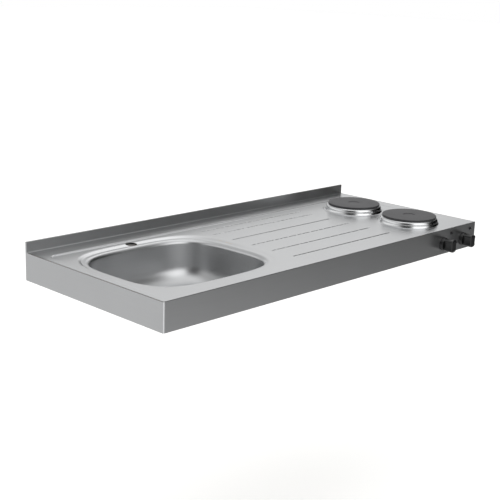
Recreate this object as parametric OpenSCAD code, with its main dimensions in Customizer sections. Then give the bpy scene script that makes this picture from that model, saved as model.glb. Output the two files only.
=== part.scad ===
// Stainless kitchenette top with a pressed sink bowl, a ribbed drainer and two
// cast iron hotplates. It stands on base cabinets, with its bowl hanging between them.
// The origin is the middle of the footprint, on the plane of the cabinet tops.
// +X runs from the bowl end to the hob end, +Y to the wall, +Z up.

/* [Worktop] */
// Length from the bowl end to the hob end
top_l = 1400; // [1360:5:1600]
// Depth from the front apron to the wall
top_d = 600; // [598:1:640]
// Height of the aprons, from the cabinet tops to the deck
apron_h = 83; // [78:1:100]
// Thickness of the stainless sheet
sheet_t = 1; // [0.8:0.1:1.2]
// Height of the upstand above the deck
upstand_h = 32; // [20:1:60]
// Thickness of the hollow upstand
upstand_t = 6; // [5:0.5:9]
// Radius of the fold between the deck and the upstand
cove_r = 3; // [2:0.5:4]
// Radius of the upright front corners
corner_r = 5; // [3:0.5:8]
// Width of the flange turned in under the aprons
return_w = 16; // [12:1:22]

/* [Pressed deck] */
// Width of the plain border along the wall
border_back = 75; // [70:1:76]
// Width of the plain border at the bowl end
border_left = 22; // [21:1:25]
// Width of the plain border at the hob end
border_right = 48; // [30:1:60]
// Distance from the front edge to where the pressed area starts to fall
border_front = 45; // [30:1:60]
// Fall of the pressed area from front to back
pan_drop = 2; // [1.5:0.1:2.5]
// Fall of the bowl surround from front to back
rim_drop = 4.2; // [3.5:0.1:5]

/* [Drainer] */
// Number of drainer grooves
groove_count = 6; // [3:1:6]
// Distance from the front edge to the first groove
groove_first = 90; // [70:1:110]
// Pitch of the grooves
groove_pitch = 84; // [70:1:90]
// Radius of the groove section
groove_r = 5; // [4:0.5:7]
// Depth of a groove
groove_deep = 1.6; // [1:0.1:2.2]

/* [Bowl] */
// Distance from the bowl end of the worktop to the bowl
bowl_from_end = 47.5; // [46:0.5:60]
// Middle of the bowl, from the front edge
bowl_y = 272; // [260:1:275]
// Width of the bowl, inside its rolled edge
bowl_w = 461; // [420:1:464]
// Depth of the bowl from front to back, inside its rolled edge
bowl_d = 400; // [360:1:404]
// Depth of the bowl below the deck
bowl_depth = 140; // [125:1:155]
// Radius of the rolled edge
roll_r = 8; // [6:0.5:10]
// Radius at the foot of the bowl walls
foot_r = 60; // [45:1:70]

/* [Tap hole] */
// Middle of the tap hole, from the bowl end of the worktop
tap_x = 300; // [200:1:360]
// Diameter of the tap hole
tap_bore = 35; // [32:0.5:35]

/* [Hob] */
// Middle of the hotplates, from the hob end
hob_from_end = 189; // [180:1:200]
// Middle of the front hotplate, from the front edge
plate_first = 143; // [140:1:160]
// Distance between the two hotplates
plate_pitch = 238; // [215:1:250]
// Diameter of a hotplate
plate_dia = 180; // [145:5:180]
// Height of the cooking face above the deck
plate_h = 25; // [22:0.5:30]
// Height of the spill ring
ring_h = 18; // [15:0.5:19]

/* [Controls] */
// Distance from the hob end to the nearer knob
knob_from_end = 74; // [60:1:80]
// Distance between the knobs
knob_pitch = 112; // [95:1:120]
// Depth of the knob axis below the deck
knob_down = 49.5; // [47:0.5:51]
// Diameter of the knob skirt
knob_dia = 44; // [42:0.5:44]
// How far a knob stands out
knob_out = 41; // [34:0.5:46]
// Diameter of the switch spindle
spindle_dia = 6; // [5:0.5:6]

/* [Waste] */
// Diameter of the flange of the waste
waste_dia = 114; // [110:1:118]
// Diameter of the strainer cup
cup_dia = 86; // [82:1:88]
// Depth of the strainer cup
cup_deep = 30; // [28:1:36]
// Outside diameter of the outlet
outlet_dia = 47.8; // [40:0.1:48]

/* [Hidden] */
$fn = 64;

// Overrun of every cut
over = 1;
// Air left between pieces that only lie beside each other
gap = 0.3;
// Running clearance round a turning spindle
run_gap = 0.05;

// Edges and levels of the worktop
x_left = -top_l / 2;
x_right = top_l / 2;
y_front = -top_d / 2;
y_wall = top_d / 2;
deck_z = apron_h;
under_z = deck_z - sheet_t;
y_upstand = y_wall - upstand_t;
z_upstand = deck_z + upstand_h;
// Lip of the upstand that is welded to the back edge of the deck
lip_w = 3;
y_deck_end = y_upstand - cove_r - lip_w;
// Bend radius at the top of the upstand
bend_r = 2;
// Length of side that the front apron covers behind its corner
seam_w = 1;
y_seam = y_front + corner_r + seam_w;

// Pressed area: a plane that falls from the front line to the border step at the back
y_fall = y_front + border_front;
y_pan_end = y_wall - border_back;
pan_tilt = atan(pan_drop / (y_pan_end - y_fall));
pan_run = 2.5;
pan_r = 30;
x_pan_left = x_left + border_left;
x_pan_right = x_right - border_right;
// Thickness of the block that the pressing is cut from
slab_h = 15;

// Bowl outline and the recessed surround that carries the tap hole
bowl_flange = 2.5;
flange_a = bowl_w / 2 + bowl_flange;
flange_b = bowl_d / 2 + bowl_flange;
bowl_cx = x_left + bowl_from_end + flange_a;
bowl_cy = y_front + bowl_y;
bowl_power = 4;
bowl_steps = 64;
tap_r = tap_bore / 2;
tap_margin = 3;
x_tap = x_left + tap_x;
y_tap = bowl_cy + flange_b + tap_margin + tap_r;
rim_side = 10;
rim_run = 7;
rim_r = 133;
x_rim_left = bowl_cx - flange_a - rim_side;
x_rim_right = bowl_cx + flange_a + rim_side;
y_rim_end = y_tap + tap_r + tap_margin;
rim_tilt = atan(rim_drop / (y_rim_end - y_fall));
rim_rise = rim_drop - pan_drop;

// Drainer
groove_end_gap = 44;
x_groove_start = x_rim_right + rim_run + groove_end_gap;
// Distance kept between the last groove and the border step
groove_last_gap = 46;
y_groove_last = y_pan_end - groove_last_gap;
groove_flat = 68;

// Hob
hob_x = x_right - hob_from_end;
plate_r = plate_dia / 2;
ring_over = 10;
ring_r = plate_r + ring_over;
seat_over = 5.5;
seat_r = ring_r + seat_over;
hole_r = plate_r - ring_over / 2;
x_groove_end = hob_x - seat_r - groove_flat;
y_plate_front = y_front + plate_first;
y_plate_rear = y_plate_front + plate_pitch;
ring_sheet = 0.8;
ring_foot = 4;
ring_lip = 9;
ring_steps = 10;
plate_edge = 1.5;
recess_r = 20;
recess_deep = 1.6;
body_r = plate_r - 10;
body_z = 6;
body_wall = 8;
face_t = 9;
cover_lip = 6;
cover_z = body_z - ring_sheet;
stud_r = 4;
stud_low = -34;
bridge_w = 28;
bridge_t = 3;
bridge_low = -16;
bridge_half = hole_r + 9;
bridge_mid = 58;
bridge_land = 10;
nut_h = 6.5;
nut_r = 7.5;
term_l = 40;
term_w = 18;
term_h = 14;
term_off = 46;
post_r = 2.5;
post_h = 5;
post_pitch = 10;

// Bearers of timber under the deck
bearer_w = 36;
edge_bearer_w = 20;
bearer_gap = 6;
x_bowl_bearer = x_rim_right + rim_run + bearer_gap;
x_hob_bearer = hob_x - seat_r - gap * 10 - bearer_w;
// Share of the room between those two bearers that lies left of the middle one
middle_share = 0.238;
x_middle_bearer = mix(x_bowl_bearer + bearer_w, x_hob_bearer - bearer_w, middle_share);
notch_half = groove_r + sheet_t + over;
notch_deep = groove_deep + sheet_t + over;

// Tap plate
tap_plate_t = 3;
tap_plate_l = 64;

// Controls on the front apron
x_knob = [x_right - knob_from_end - knob_pitch, x_right - knob_from_end];
knob_z = deck_z - knob_down;
knob_r = knob_dia / 2;
knob_gap = 0.8;
skirt_edge = 3;
skirt_h = 9;
skirt_taper = 1.5;
grip_half = 13;
grip_neck = 4;
grip_edge = 3;
grip_round = 60;
hub_r = 7;
wall_t = 2.5;
spindle_r = spindle_dia / 2;
spindle_in = 20;
spindle_back = 14;
bush_r = 5;
bush_out = 3;
bush_gap = 0.3;
switch_s = 42;
switch_deep = 30;
screw_off = 14;
screw_r = 2;
screw_head_r = 3.6;
screw_head_h = 2.2;
screw_len = 8;
blade_w = 6.3;
blade_t = 0.8;
blade_l = 8;
blade_pitch = 11;
lamp_dx = 40;
lamp_down = 18.5;
lamp_z = deck_z - lamp_down;
lamp_r = 5.2;
lens_r = 4.4;
lens_out = 2.6;
lamp_rim = 1.2;
barrel_r = 4;
barrel_l = 22;
clip_r = 7;
clip_t = 1.5;

// Waste fitting in the middle of the bowl
bowl_fall = 3;
waste_r = waste_dia / 2;
seal_t = 1.5;
flange_t = 2;
seat_drop = seal_t + flange_t;
recess_gap = 3;
waste_seat_r = waste_r + recess_gap;
cup_r = cup_dia / 2;
waste_hole_r = cup_r + 2;
cup_wall = 1.5;
z_floor = deck_z - bowl_depth;
z_seat = z_floor - seat_drop;
z_flange = z_seat + seal_t;
under_seal_t = 3;
locknut_h = 9;
locknut_w = 11;
locknut_lugs = 6;
lug_w = 12;
lug_h = 5;
outlet_r = outlet_dia / 2;
outlet_wall = 3;
outlet_l = 18;
z_cup = z_flange - cup_deep;
// Strainer basket
basket_gap = 1.2;
basket_r = cup_r - cup_wall - basket_gap;
basket_low_r = basket_r - 7;
basket_wall = 1;
basket_rim = 3;
basket_foot = 6;
z_basket_top = z_flange + flange_t - gap;
z_basket_low = z_cup + cup_wall + basket_foot;
slot_count = 20;
slot_w = 3;
drain_count = 8;
drain_r = 2.5;
stem_r = 3;
stopper_r = 25;
stopper_t = 4;
knob_top_r = 12;
knob_top_h = 6;
knob_top_neck = 5;

// Tray under the hotplates and the wiring in it
tray_t = 0.8;
tray_z = 4;
tray_h = 54;
tray_y0 = y_front + sheet_t;
tray_y1 = y_wall - 46;
vent_l = 46;
vent_w = 5;
vent_cols = 4;
vent_rows = 7;
vent_share = 0.72;
tray_screw_r = 2.4;
tray_screw_h = 2;
gland_from_end = 245;
gland_from_wall = 84;
gland_bore_r = 5.5;
gland_r = 10.5;
gland_nut_r = 14;
gland_hex_h = 8;
gland_cap_h = 12;
gland_nut_h = 5;
block_l = 60;
block_w = 24;
block_h = 20;
block_gap = 26;
earth_r = 3;
earth_l = 16;
earth_nut_r = 5.5;
earth_nut_h = 5;
loom_r = 3.5;
loom_turn = 12;
loom_off = 34;
bead_share = 1.12;
lead_r = 1.5;
lead_turn = 5;

fix_r = 2.5;
fix_from_end = 360;
x_fix = x_right - fix_from_end;
y_fix = y_wall - return_w / 2 - sheet_t;

steel = "lightsteelblue";
dark = "dimgray";

// Point on a rounded square outline of half sizes a and b
function soft_point(a, b, p, t) = [
    a * sign(cos(t)) * pow(abs(cos(t)), 2 / p),
    b * sign(sin(t)) * pow(abs(sin(t)), 2 / p)
];
function soft_outline(a, b, p) = [
    for (i = [0 : bowl_steps - 1]) soft_point(a, b, p, 360 * i / bowl_steps)
];

// Region above the plane that falls from the front line by the given angle
module above_plane(tilt) {
    translate([0, y_fall, deck_z])
        rotate([-tilt, 0, 0])
            translate([x_left - top_l, -top_d, 0]) cube([3 * top_l, 3 * top_d, slab_h]);
}

// Rectangle with round corners whose sides lean out by run over the height h
module leaning_block(x0, x1, y0, y1, r, z0, h, run) {
    translate([x0 + r, 0, 0]) rotate([90, 0, 90]) linear_extrude(x1 - x0 - 2 * r)
        polygon([[y0, z0], [y1, z0], [y1 + run, z0 + h], [y0 - run, z0 + h]]);
    translate([0, y1 - r, 0]) rotate([90, 0, 0]) linear_extrude(y1 - y0 - 2 * r)
        polygon([[x0, z0], [x1, z0], [x1 + run, z0 + h], [x0 - run, z0 + h]]);
    for (x = [x0 + r, x1 - r], y = [y0 + r, y1 - r])
        translate([x, y, z0]) cylinder(h = h, r1 = r, r2 = r + run);
}

// Pressed area of the deck, as the air above it
module pan_air() {
    lift = 2;
    intersection() {
        leaning_block(x_pan_left + pan_run, x_pan_right - pan_run, y_fall, y_pan_end - pan_run,
                      pan_r, deck_z - pan_drop, pan_drop * lift, pan_run * lift);
        above_plane(pan_tilt);
    }
}

// Recess round the bowl, as the air above it
module rim_air() {
    lift = 2.4;
    intersection() {
        leaning_block(x_rim_left, x_rim_right, y_fall, y_rim_end,
                      rim_r, deck_z - rim_drop, rim_rise * lift, rim_run * lift);
        above_plane(rim_tilt);
    }
}

function groove_y(i) = min(y_front + groove_first + i * groove_pitch, y_groove_last);
function pan_level(y) = deck_z - (y - y_fall) * tan(pan_tilt);

module groove_air(grow) {
    r = groove_r + grow;
    for (i = [0 : groove_count - 1])
        translate([0, groove_y(i), pan_level(groove_y(i)) - groove_deep + groove_r]) {
            translate([x_groove_start, 0, 0]) rotate([0, 90, 0])
                cylinder(h = x_groove_end - x_groove_start, r = r);
            translate([x_groove_start, 0, 0]) sphere(r = r);
            translate([x_groove_end, 0, 0]) sphere(r = r);
        }
}

// Solid below the deck surface, taken down by e
module below_deck(e) {
    difference() {
        translate([x_left - over, y_front - over, deck_z - slab_h - e])
            cube([top_l + 2 * over, top_d + 2 * over, slab_h]);
        translate([0, 0, -e]) pan_air();
        translate([0, 0, -e]) rim_air();
        groove_air(e);
    }
    for (y = [y_plate_front, y_plate_rear])
        translate([hob_x, y, deck_z - slab_h - e]) cylinder(h = slab_h, r = seat_r - e);
}

// Plan of the worktop with round front corners, drawn in by e
module plan(e) {
    r = corner_r - e;
    translate([x_left + corner_r, y_front + e]) square([top_l - 2 * corner_r, top_d]);
    translate([x_left + e, y_front + corner_r]) square([top_l - 2 * e, top_d]);
    for (x = [x_left + corner_r, x_right - corner_r])
        translate([x, y_front + corner_r]) circle(r = r);
}

module deck_sheet() {
    color(steel)
        difference() {
            intersection() {
                difference() {
                    below_deck(0);
                    below_deck(sheet_t);
                }
                translate([0, 0, deck_z - slab_h]) linear_extrude(2 * slab_h)
                    intersection() {
                        plan(0);
                        translate([x_left, y_front]) square([top_l, y_deck_end - y_front]);
                    }
            }
            translate([bowl_cx, bowl_cy, deck_z - slab_h - over]) linear_extrude(slab_h + 2 * over)
                polygon(soft_outline(flange_a, flange_b, bowl_power));
            translate([x_tap, y_tap, deck_z - slab_h]) cylinder(h = 2 * slab_h, r = tap_r + gap);
            for (y = [y_plate_front, y_plate_rear])
                translate([hob_x, y, deck_z - slab_h]) cylinder(h = 2 * slab_h, r = hole_r);
        }
}

// Holes of the front apron, drilled towards the wall
module apron_hole(x, z, r) {
    translate([x, y_front - over, z]) rotate([-90, 0, 0]) cylinder(h = sheet_t + 2 * over, r = r);
}

module fixing_holes(y) {
    for (x = [-x_fix, x_fix])
        translate([x, y, -over]) cylinder(h = sheet_t + 2 * over, r = fix_r);
}

module front_apron() {
    color("gray")
        difference() {
            union() {
                linear_extrude(under_z) intersection() {
                    difference() {
                        plan(0);
                        plan(sheet_t);
                    }
                    translate([x_left, y_front]) square([top_l, y_seam - y_front]);
                }
                translate([x_left + corner_r, y_front + sheet_t, 0])
                    cube([top_l - 2 * corner_r, return_w - sheet_t, sheet_t]);
            }
            for (x = x_knob) {
                apron_hole(x, knob_z, bush_r + bush_gap);
                apron_hole(x - screw_off, knob_z, screw_r + gap);
                apron_hole(x + screw_off, knob_z, screw_r + gap);
                apron_hole(x + lamp_dx, lamp_z, barrel_r + gap);
            }
            fixing_holes(-y_fix);
        }
}

// Section of the upstand and the back skirt, drawn in by e
module upstand_section(e, ends) {
    translate([y_deck_end - ends, -ends]) square([y_wall - e - y_deck_end + ends, deck_z - e + ends]);
    translate([y_upstand + e, deck_z - sheet_t]) square([upstand_t - 2 * e, upstand_h + sheet_t - bend_r]);
    translate([y_upstand + bend_r, deck_z]) square([upstand_t - 2 * bend_r, upstand_h - e]);
    for (y = [y_upstand + bend_r, y_wall - bend_r])
        translate([y, z_upstand - bend_r]) circle(r = bend_r - e);
    difference() {
        translate([y_upstand - cove_r, deck_z - e]) square([cove_r + e, cove_r + e]);
        translate([y_upstand - cove_r, deck_z + cove_r]) circle(r = cove_r + e);
    }
}

module rear_upstand() {
    color("gray")
        difference() {
            translate([x_left + sheet_t, 0, 0]) rotate([90, 0, 90]) linear_extrude(top_l - 2 * sheet_t) {
                difference() {
                    upstand_section(0, 0);
                    upstand_section(sheet_t, over);
                }
                translate([y_wall - return_w, 0]) square([return_w - sheet_t / 2, sheet_t]);
            }
            fixing_holes(y_fix);
        }
}

// End apron with its return flange and the tab that closes the upstand
module end_apron() {
    translate([x_left, 0, 0]) rotate([90, 0, 90]) linear_extrude(sheet_t) {
        translate([y_seam, 0]) square([y_wall - y_seam, under_z]);
        upstand_section(0, 0);
    }
    translate([x_left + sheet_t / 2, y_front + return_w, 0])
        cube([return_w - sheet_t / 2, top_d - 2 * return_w, sheet_t]);
}

module left_end_apron() {
    color("silver") end_apron();
}

module right_end_apron() {
    color("silver") mirror([1, 0, 0]) end_apron();
}

// Timber bearer, rebated over the return flanges and notched under the grooves
module bearer(x, w) {
    color("burlywood")
        difference() {
            translate([x, y_front + sheet_t, 0]) cube([w, top_d - 2 * sheet_t, under_z]);
            translate([0, 0, -sheet_t]) above_plane(pan_tilt);
            for (y = [y_front, y_wall - return_w])
                translate([x - over, y, -over]) cube([w + 2 * over, return_w, sheet_t + over]);
            for (i = [0 : groove_count - 1])
                translate([x - over, groove_y(i) - notch_half, pan_level(groove_y(i)) - notch_deep])
                    cube([w + 2 * over, 2 * notch_half, slab_h]);
        }
}

module edge_bearer(x, flange_x) {
    color("burlywood")
        difference() {
            translate([x, y_front + sheet_t + corner_r, 0])
                cube([edge_bearer_w, top_d - 2 * sheet_t - corner_r, under_z]);
            for (y = [y_front, y_wall - return_w])
                translate([x - over, y, -over]) cube([edge_bearer_w + 2 * over, return_w, sheet_t + over]);
            translate([flange_x, y_front, -over]) cube([return_w + over, top_d, sheet_t + over]);
        }
}

module left_bearer() {
    edge_bearer(x_left + sheet_t, x_left - over);
}

module right_bearer() {
    edge_bearer(x_right - sheet_t - edge_bearer_w, x_right - return_w);
}

module bowl_bearer() {
    bearer(x_bowl_bearer, bearer_w);
}

module middle_bearer() {
    bearer(x_middle_bearer, bearer_w);
}

module hob_bearer() {
    bearer(x_hob_bearer, bearer_w);
}

// Bowl section: inset from the flange edge, depth, and the direction into the metal
draft = 4;
roll_angles = [0, 30, 60, 90 - draft];
foot_angles = [draft, 21, 38, 55, 72, 88];
roll_section = [
    for (a = roll_angles) [bowl_flange + roll_r * sin(a), roll_r * (1 - cos(a)), -sin(a), cos(a)]
];
h_floor = bowl_depth - bowl_fall;
h_foot_mid = h_floor - foot_r * sin(foot_angles[5]);
h_wall_end = h_foot_mid + foot_r * sin(draft);
d_wall_start = roll_section[3][0];
h_wall_start = roll_section[3][1];
d_foot_mid = d_wall_start + (h_wall_end - h_wall_start) * tan(draft) + foot_r * cos(draft);
foot_section = [
    for (a = foot_angles) [d_foot_mid - foot_r * cos(a), h_foot_mid + foot_r * sin(a), -cos(a), sin(a)]
];
wall_section = concat([[0, 0, 0, 1]], roll_section, foot_section);
floor_a = flange_a - foot_section[5][0];
floor_b = flange_b - foot_section[5][0];

// Rings of the bowl: half sizes, outline power and depth, with e for the underside
function mix(u, v, s) = u * (1 - s) + v * s;
function wall_ring(s, e) = [
    flange_a - s[0] - e * s[2], flange_b - s[0] - e * s[2], bowl_power, s[1] + e * s[3]
];
function floor_ring(s, e) = [
    mix(floor_a, waste_seat_r, s), mix(floor_b, waste_seat_r, s), mix(bowl_power, 2, s),
    mix(h_floor, bowl_depth, s) + e
];
function bowl_rings(e) = concat(
    [for (s = wall_section) wall_ring(s, e)],
    [for (s = [1 / 3, 2 / 3, 1]) floor_ring(s, e)],
    [[waste_seat_r - seat_drop / 2, waste_seat_r - seat_drop / 2, 2, bowl_depth + seat_drop + e]],
    [[waste_hole_r, waste_hole_r, 2, bowl_depth + seat_drop + e]]
);
function rim_fall(y, h) = max(0, 1 - h / h_floor) * (bowl_cy + y - y_fall) * tan(rim_tilt);
function ring_points(r) = [
    for (q = soft_outline(r[0], r[1], r[2]))
        [bowl_cx + q[0], bowl_cy + q[1], deck_z - r[3] - rim_fall(q[1], r[3])]
];

module sink_bowl() {
    inside = bowl_rings(0);
    under = bowl_rings(sheet_t);
    last = len(inside) - 1;
    loop = concat(inside, [for (i = [last : -1 : 0]) under[i]]);
    rings = len(loop);
    n = bowl_steps;
    points = [for (r = loop) each ring_points(r)];
    faces = [
        for (i = [0 : rings - 1], j = [0 : n - 1])
            let (a = i * n + j, b = i * n + (j + 1) % n, k = (i + 1) % rings, c = k * n + j,
                 d = k * n + (j + 1) % n)
                each [[a, b, d], [a, d, c]]
    ];
    color("silver") polyhedron(points = points, faces = faces, convexity = 6);
}

// Stiffening plate under the tap hole
module tap_plate() {
    y0 = y_tap - tap_r - tap_margin * 1.5;
    color("darkgray")
        difference() {
            translate([x_tap - tap_plate_l / 2, y0, deck_z - rim_drop - sheet_t - tap_plate_t])
                cube([tap_plate_l, y_rim_end - y0, tap_plate_t + rim_drop]);
            translate([0, 0, -sheet_t]) above_plane(rim_tilt);
            translate([x_tap, y_tap, deck_z - slab_h]) cylinder(h = slab_h, r = tap_r);
        }
}

// Strainer cup with its flange and outlet
module waste_cup() {
    slope = 6;
    color("silver") translate([bowl_cx, bowl_cy, 0])
        difference() {
            rotate_extrude() polygon([
                [0, z_cup], [outlet_r - outlet_wall, z_cup], [cup_r - slope, z_cup],
                [cup_r, z_cup + slope], [cup_r, z_flange], [waste_r, z_flange],
                [waste_r - flange_t / 2, z_flange + flange_t], [cup_r - cup_wall, z_flange + flange_t],
                [cup_r - cup_wall, z_cup + slope + cup_wall / 2],
                [cup_r - slope - cup_wall / 2, z_cup + cup_wall], [0, z_cup + cup_wall]
            ]);
            translate([0, 0, z_cup - over]) cylinder(h = cup_wall + 2 * over, r = outlet_r - outlet_wall);
        }
    color("silver") translate([bowl_cx, bowl_cy, z_cup - outlet_l])
        difference() {
            cylinder(h = outlet_l + cup_wall / 2, r = outlet_r);
            translate([0, 0, -over]) cylinder(h = outlet_l + cup_wall + 2 * over, r = outlet_r - outlet_wall);
        }
}

module washer(r0, r1, z, h) {
    translate([bowl_cx, bowl_cy, z]) difference() {
        cylinder(h = h, r = r1);
        translate([0, 0, -over]) cylinder(h = h + 2 * over, r = r0);
    }
}

module waste_top_seal() {
    color("black") washer(cup_r + gap, waste_r - flange_t, z_seat, seal_t);
}

module waste_under_seal() {
    color("black") washer(cup_r + gap, cup_r + locknut_w, z_seat - sheet_t - under_seal_t, under_seal_t);
}

module waste_locknut() {
    z = z_seat - sheet_t - under_seal_t - locknut_h;
    color("white") difference() {
        union() {
            translate([bowl_cx, bowl_cy, z]) cylinder(h = locknut_h, r = cup_r + locknut_w);
            for (i = [0 : locknut_lugs - 1])
                translate([bowl_cx, bowl_cy, z]) rotate([0, 0, 360 * i / locknut_lugs])
                    translate([cup_r, -lug_w / 2, 0]) cube([locknut_w + lug_h, lug_w, locknut_h]);
        }
        translate([bowl_cx, bowl_cy, z - over]) cylinder(h = locknut_h + 2 * over, r = cup_r + run_gap);
    }
}

// Lift-out basket, with slots in its wall and holes in its floor
module strainer_basket() {
    color("silver") translate([bowl_cx, bowl_cy, 0])
        difference() {
            rotate_extrude() polygon([
                [stem_r, z_basket_low], [basket_low_r, z_basket_low],
                [basket_r - basket_rim, z_basket_top - basket_rim], [basket_r, z_basket_top - basket_rim],
                [basket_r, z_basket_top], [basket_r - basket_rim - basket_wall, z_basket_top],
                [basket_low_r - basket_wall, z_basket_low + basket_wall],
                [stem_r, z_basket_low + basket_wall]
            ]);
            for (i = [0 : slot_count - 1]) rotate([0, 0, 360 * i / slot_count])
                translate([basket_low_r - 2 * basket_wall, -slot_w / 2, z_basket_low + 3 * basket_wall])
                    cube([basket_r, slot_w, (z_basket_top - z_basket_low) / 2]);
            for (i = [0 : drain_count - 1]) rotate([0, 0, 360 * i / drain_count])
                translate([(stem_r + basket_low_r) / 2, 0, z_basket_low - over])
                    cylinder(h = basket_wall + 2 * over, r = drain_r);
        }
}

// Rubber stopper under the basket
module basket_stopper() {
    z = z_cup + cup_wall + gap;
    color("black") translate([bowl_cx, bowl_cy, z])
        rotate_extrude() polygon([
            [0, 0], [stopper_r - stopper_t, 0], [stopper_r, stopper_t / 2], [stopper_r, stopper_t],
            [stem_r, z_basket_low - z], [0, z_basket_low - z]
        ]);
}

module basket_knob() {
    color("silver") translate([bowl_cx, bowl_cy, z_basket_low])
        rotate_extrude() polygon([
            [0, 0], [stem_r, 0], [stem_r, z_basket_top - z_basket_low - knob_top_h],
            [knob_top_neck, z_basket_top - z_basket_low - knob_top_h],
            [knob_top_r, z_basket_top - z_basket_low - knob_top_h / 2],
            [knob_top_r, z_basket_top - z_basket_low], [knob_top_neck, z_basket_top - z_basket_low + over],
            [0, z_basket_top - z_basket_low + over]
        ]);
}

// Hotplate parts share one frame: origin on the deck at the middle of the plate
module at_plate(y) {
    translate([hob_x, y, deck_z]) children();
}

module hotplate(y) {
    color("#3a3a3c") at_plate(y) rotate_extrude() polygon([
        [0, plate_h - face_t], [body_r - body_wall, plate_h - face_t], [body_r - body_wall, body_z],
        [body_r, body_z], [body_r, ring_h], [plate_r - plate_edge, ring_h],
        [plate_r, ring_h + plate_edge], [plate_r, plate_h - plate_edge], [plate_r - plate_edge, plate_h],
        [recess_r + plate_edge, plate_h], [recess_r, plate_h - recess_deep], [0, plate_h - recess_deep]
    ]);
}

// Convex spill ring, bent from sheet, with the inner lip that carries the plate
function ring_curve(e) = [
    for (i = [0 : ring_steps])
        let (a = 90 * i / ring_steps)
            [ring_r - e - ring_lip * (1 - cos(a)), ring_foot + (ring_h - e - ring_foot) * sin(a)]
];

module spill_ring(y) {
    outer = ring_curve(0);
    inner = ring_curve(ring_sheet);
    lip_r = body_r + 3 * ring_sheet;
    color("gainsboro") at_plate(y) rotate_extrude() polygon(concat(
        [[ring_r, 0]], outer, [[lip_r, ring_h], [lip_r, ring_h - ring_sheet]],
        [for (i = [ring_steps : -1 : 0]) inner[i]], [[ring_r - ring_sheet, 0]]
    ));
}

// Ceramic core that carries the heating coils inside the casting
module element(y) {
    color("wheat") at_plate(y) difference() {
        translate([0, 0, body_z]) cylinder(h = plate_h - face_t - body_z, r = body_r - body_wall - gap);
        translate([0, 0, body_z - over]) cylinder(h = plate_h, r = stud_r + gap);
    }
}

// Dished cover pressed over the foot of the casting
module base_cover(y) {
    color("darkgray") at_plate(y) difference() {
        translate([0, 0, cover_z]) cylinder(h = cover_lip, r = body_r + ring_sheet);
        translate([0, 0, body_z]) cylinder(h = cover_lip, r = body_r);
        translate([0, 0, cover_z - over]) cylinder(h = 2 * over + ring_sheet, r = stud_r + gap);
    }
}

module clamp_stud(y) {
    color("silver") at_plate(y) translate([0, 0, stud_low])
        cylinder(h = plate_h - face_t - stud_low, r = stud_r);
}

// Cranked bar that pulls the plate down against the underside of the deck
module clamp_bridge(y) {
    top = -sheet_t;
    low = bridge_low;
    color("darkgray") at_plate(y) difference() {
        translate([0, bridge_w / 2, 0]) rotate([90, 0, 0]) linear_extrude(bridge_w) polygon([
            [-bridge_half, top], [-bridge_half, top - bridge_t], [-bridge_half + bridge_land, top - bridge_t],
            [-bridge_mid, low - bridge_t], [bridge_mid, low - bridge_t],
            [bridge_half - bridge_land, top - bridge_t], [bridge_half, top - bridge_t], [bridge_half, top],
            [bridge_half - bridge_land, top], [bridge_mid, low], [-bridge_mid, low],
            [-bridge_half + bridge_land, top]
        ]);
        translate([0, 0, low - bridge_t - over]) cylinder(h = bridge_t + 2 * over, r = stud_r + gap);
    }
}

module hex_nut(r, hole, h) {
    difference() {
        cylinder(h = h, r = r, $fn = 6);
        translate([0, 0, -over]) cylinder(h = h + 2 * over, r = hole);
    }
}

module clamp_nut(y) {
    color("silver") at_plate(y) translate([0, 0, bridge_low - bridge_t - nut_h])
        hex_nut(nut_r, stud_r + run_gap, nut_h);
}

module plate_terminal(y) {
    color("ivory") at_plate(y) translate([0, term_off, cover_z - term_h]) {
        translate([-term_l / 2, -term_w / 2, 0]) cube([term_l, term_w, term_h]);
        for (i = [-1 : 1]) translate([i * post_pitch, 0, -post_h]) cylinder(h = post_h, r = post_r);
    }
}

module front_hotplate() {
    hotplate(y_plate_front);
}

module front_spill_ring() {
    spill_ring(y_plate_front);
}

module front_element() {
    element(y_plate_front);
}

module front_base_cover() {
    base_cover(y_plate_front);
}

module front_clamp_stud() {
    clamp_stud(y_plate_front);
}

module front_clamp_bridge() {
    clamp_bridge(y_plate_front);
}

module front_clamp_nut() {
    clamp_nut(y_plate_front);
}

module front_plate_terminal() {
    plate_terminal(y_plate_front);
}

module rear_hotplate() {
    hotplate(y_plate_rear);
}

module rear_spill_ring() {
    spill_ring(y_plate_rear);
}

module rear_element() {
    element(y_plate_rear);
}

module rear_base_cover() {
    base_cover(y_plate_rear);
}

module rear_clamp_stud() {
    clamp_stud(y_plate_rear);
}

module rear_clamp_bridge() {
    clamp_bridge(y_plate_rear);
}

module rear_clamp_nut() {
    clamp_nut(y_plate_rear);
}

module rear_plate_terminal() {
    plate_terminal(y_plate_rear);
}

// Control parts share one frame: origin on the apron face, with the knob axis coming out as +Z
module at_knob(i) {
    translate([x_knob[i], y_front, knob_z]) rotate([90, 0, 0]) children();
}

module knob(i) {
    grip_r = knob_r - skirt_taper / 2;
    color("#1c1c1e") at_knob(i) translate([0, 0, knob_gap]) difference() {
        rotate_extrude() polygon([
            [0, 0], [knob_r, 0], [knob_r, skirt_edge], [knob_r - skirt_taper, skirt_h],
            [grip_r - skirt_taper, skirt_h], [grip_r - skirt_taper, skirt_h + grip_neck],
            [grip_r, knob_out - grip_edge], [grip_r - grip_edge, knob_out], [0, knob_out]
        ]);
        for (s = [-1, 1]) translate([s * (grip_half + grip_round), 0, skirt_h])
            cylinder(h = knob_out, r = grip_round, $fn = 128);
        difference() {
            translate([0, 0, -over]) cylinder(h = skirt_h - wall_t + over, r = knob_r - wall_t);
            translate([0, 0, bush_out + gap - knob_gap / 2]) cylinder(h = skirt_h, r = hub_r);
        }
        translate([0, 0, -over]) cylinder(h = spindle_in + over, r = spindle_r);
    }
}

module spindle(i) {
    color("silver") at_knob(i) translate([0, 0, -spindle_back])
        cylinder(h = spindle_back + knob_gap + spindle_in - gap, r = spindle_r);
}

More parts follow.
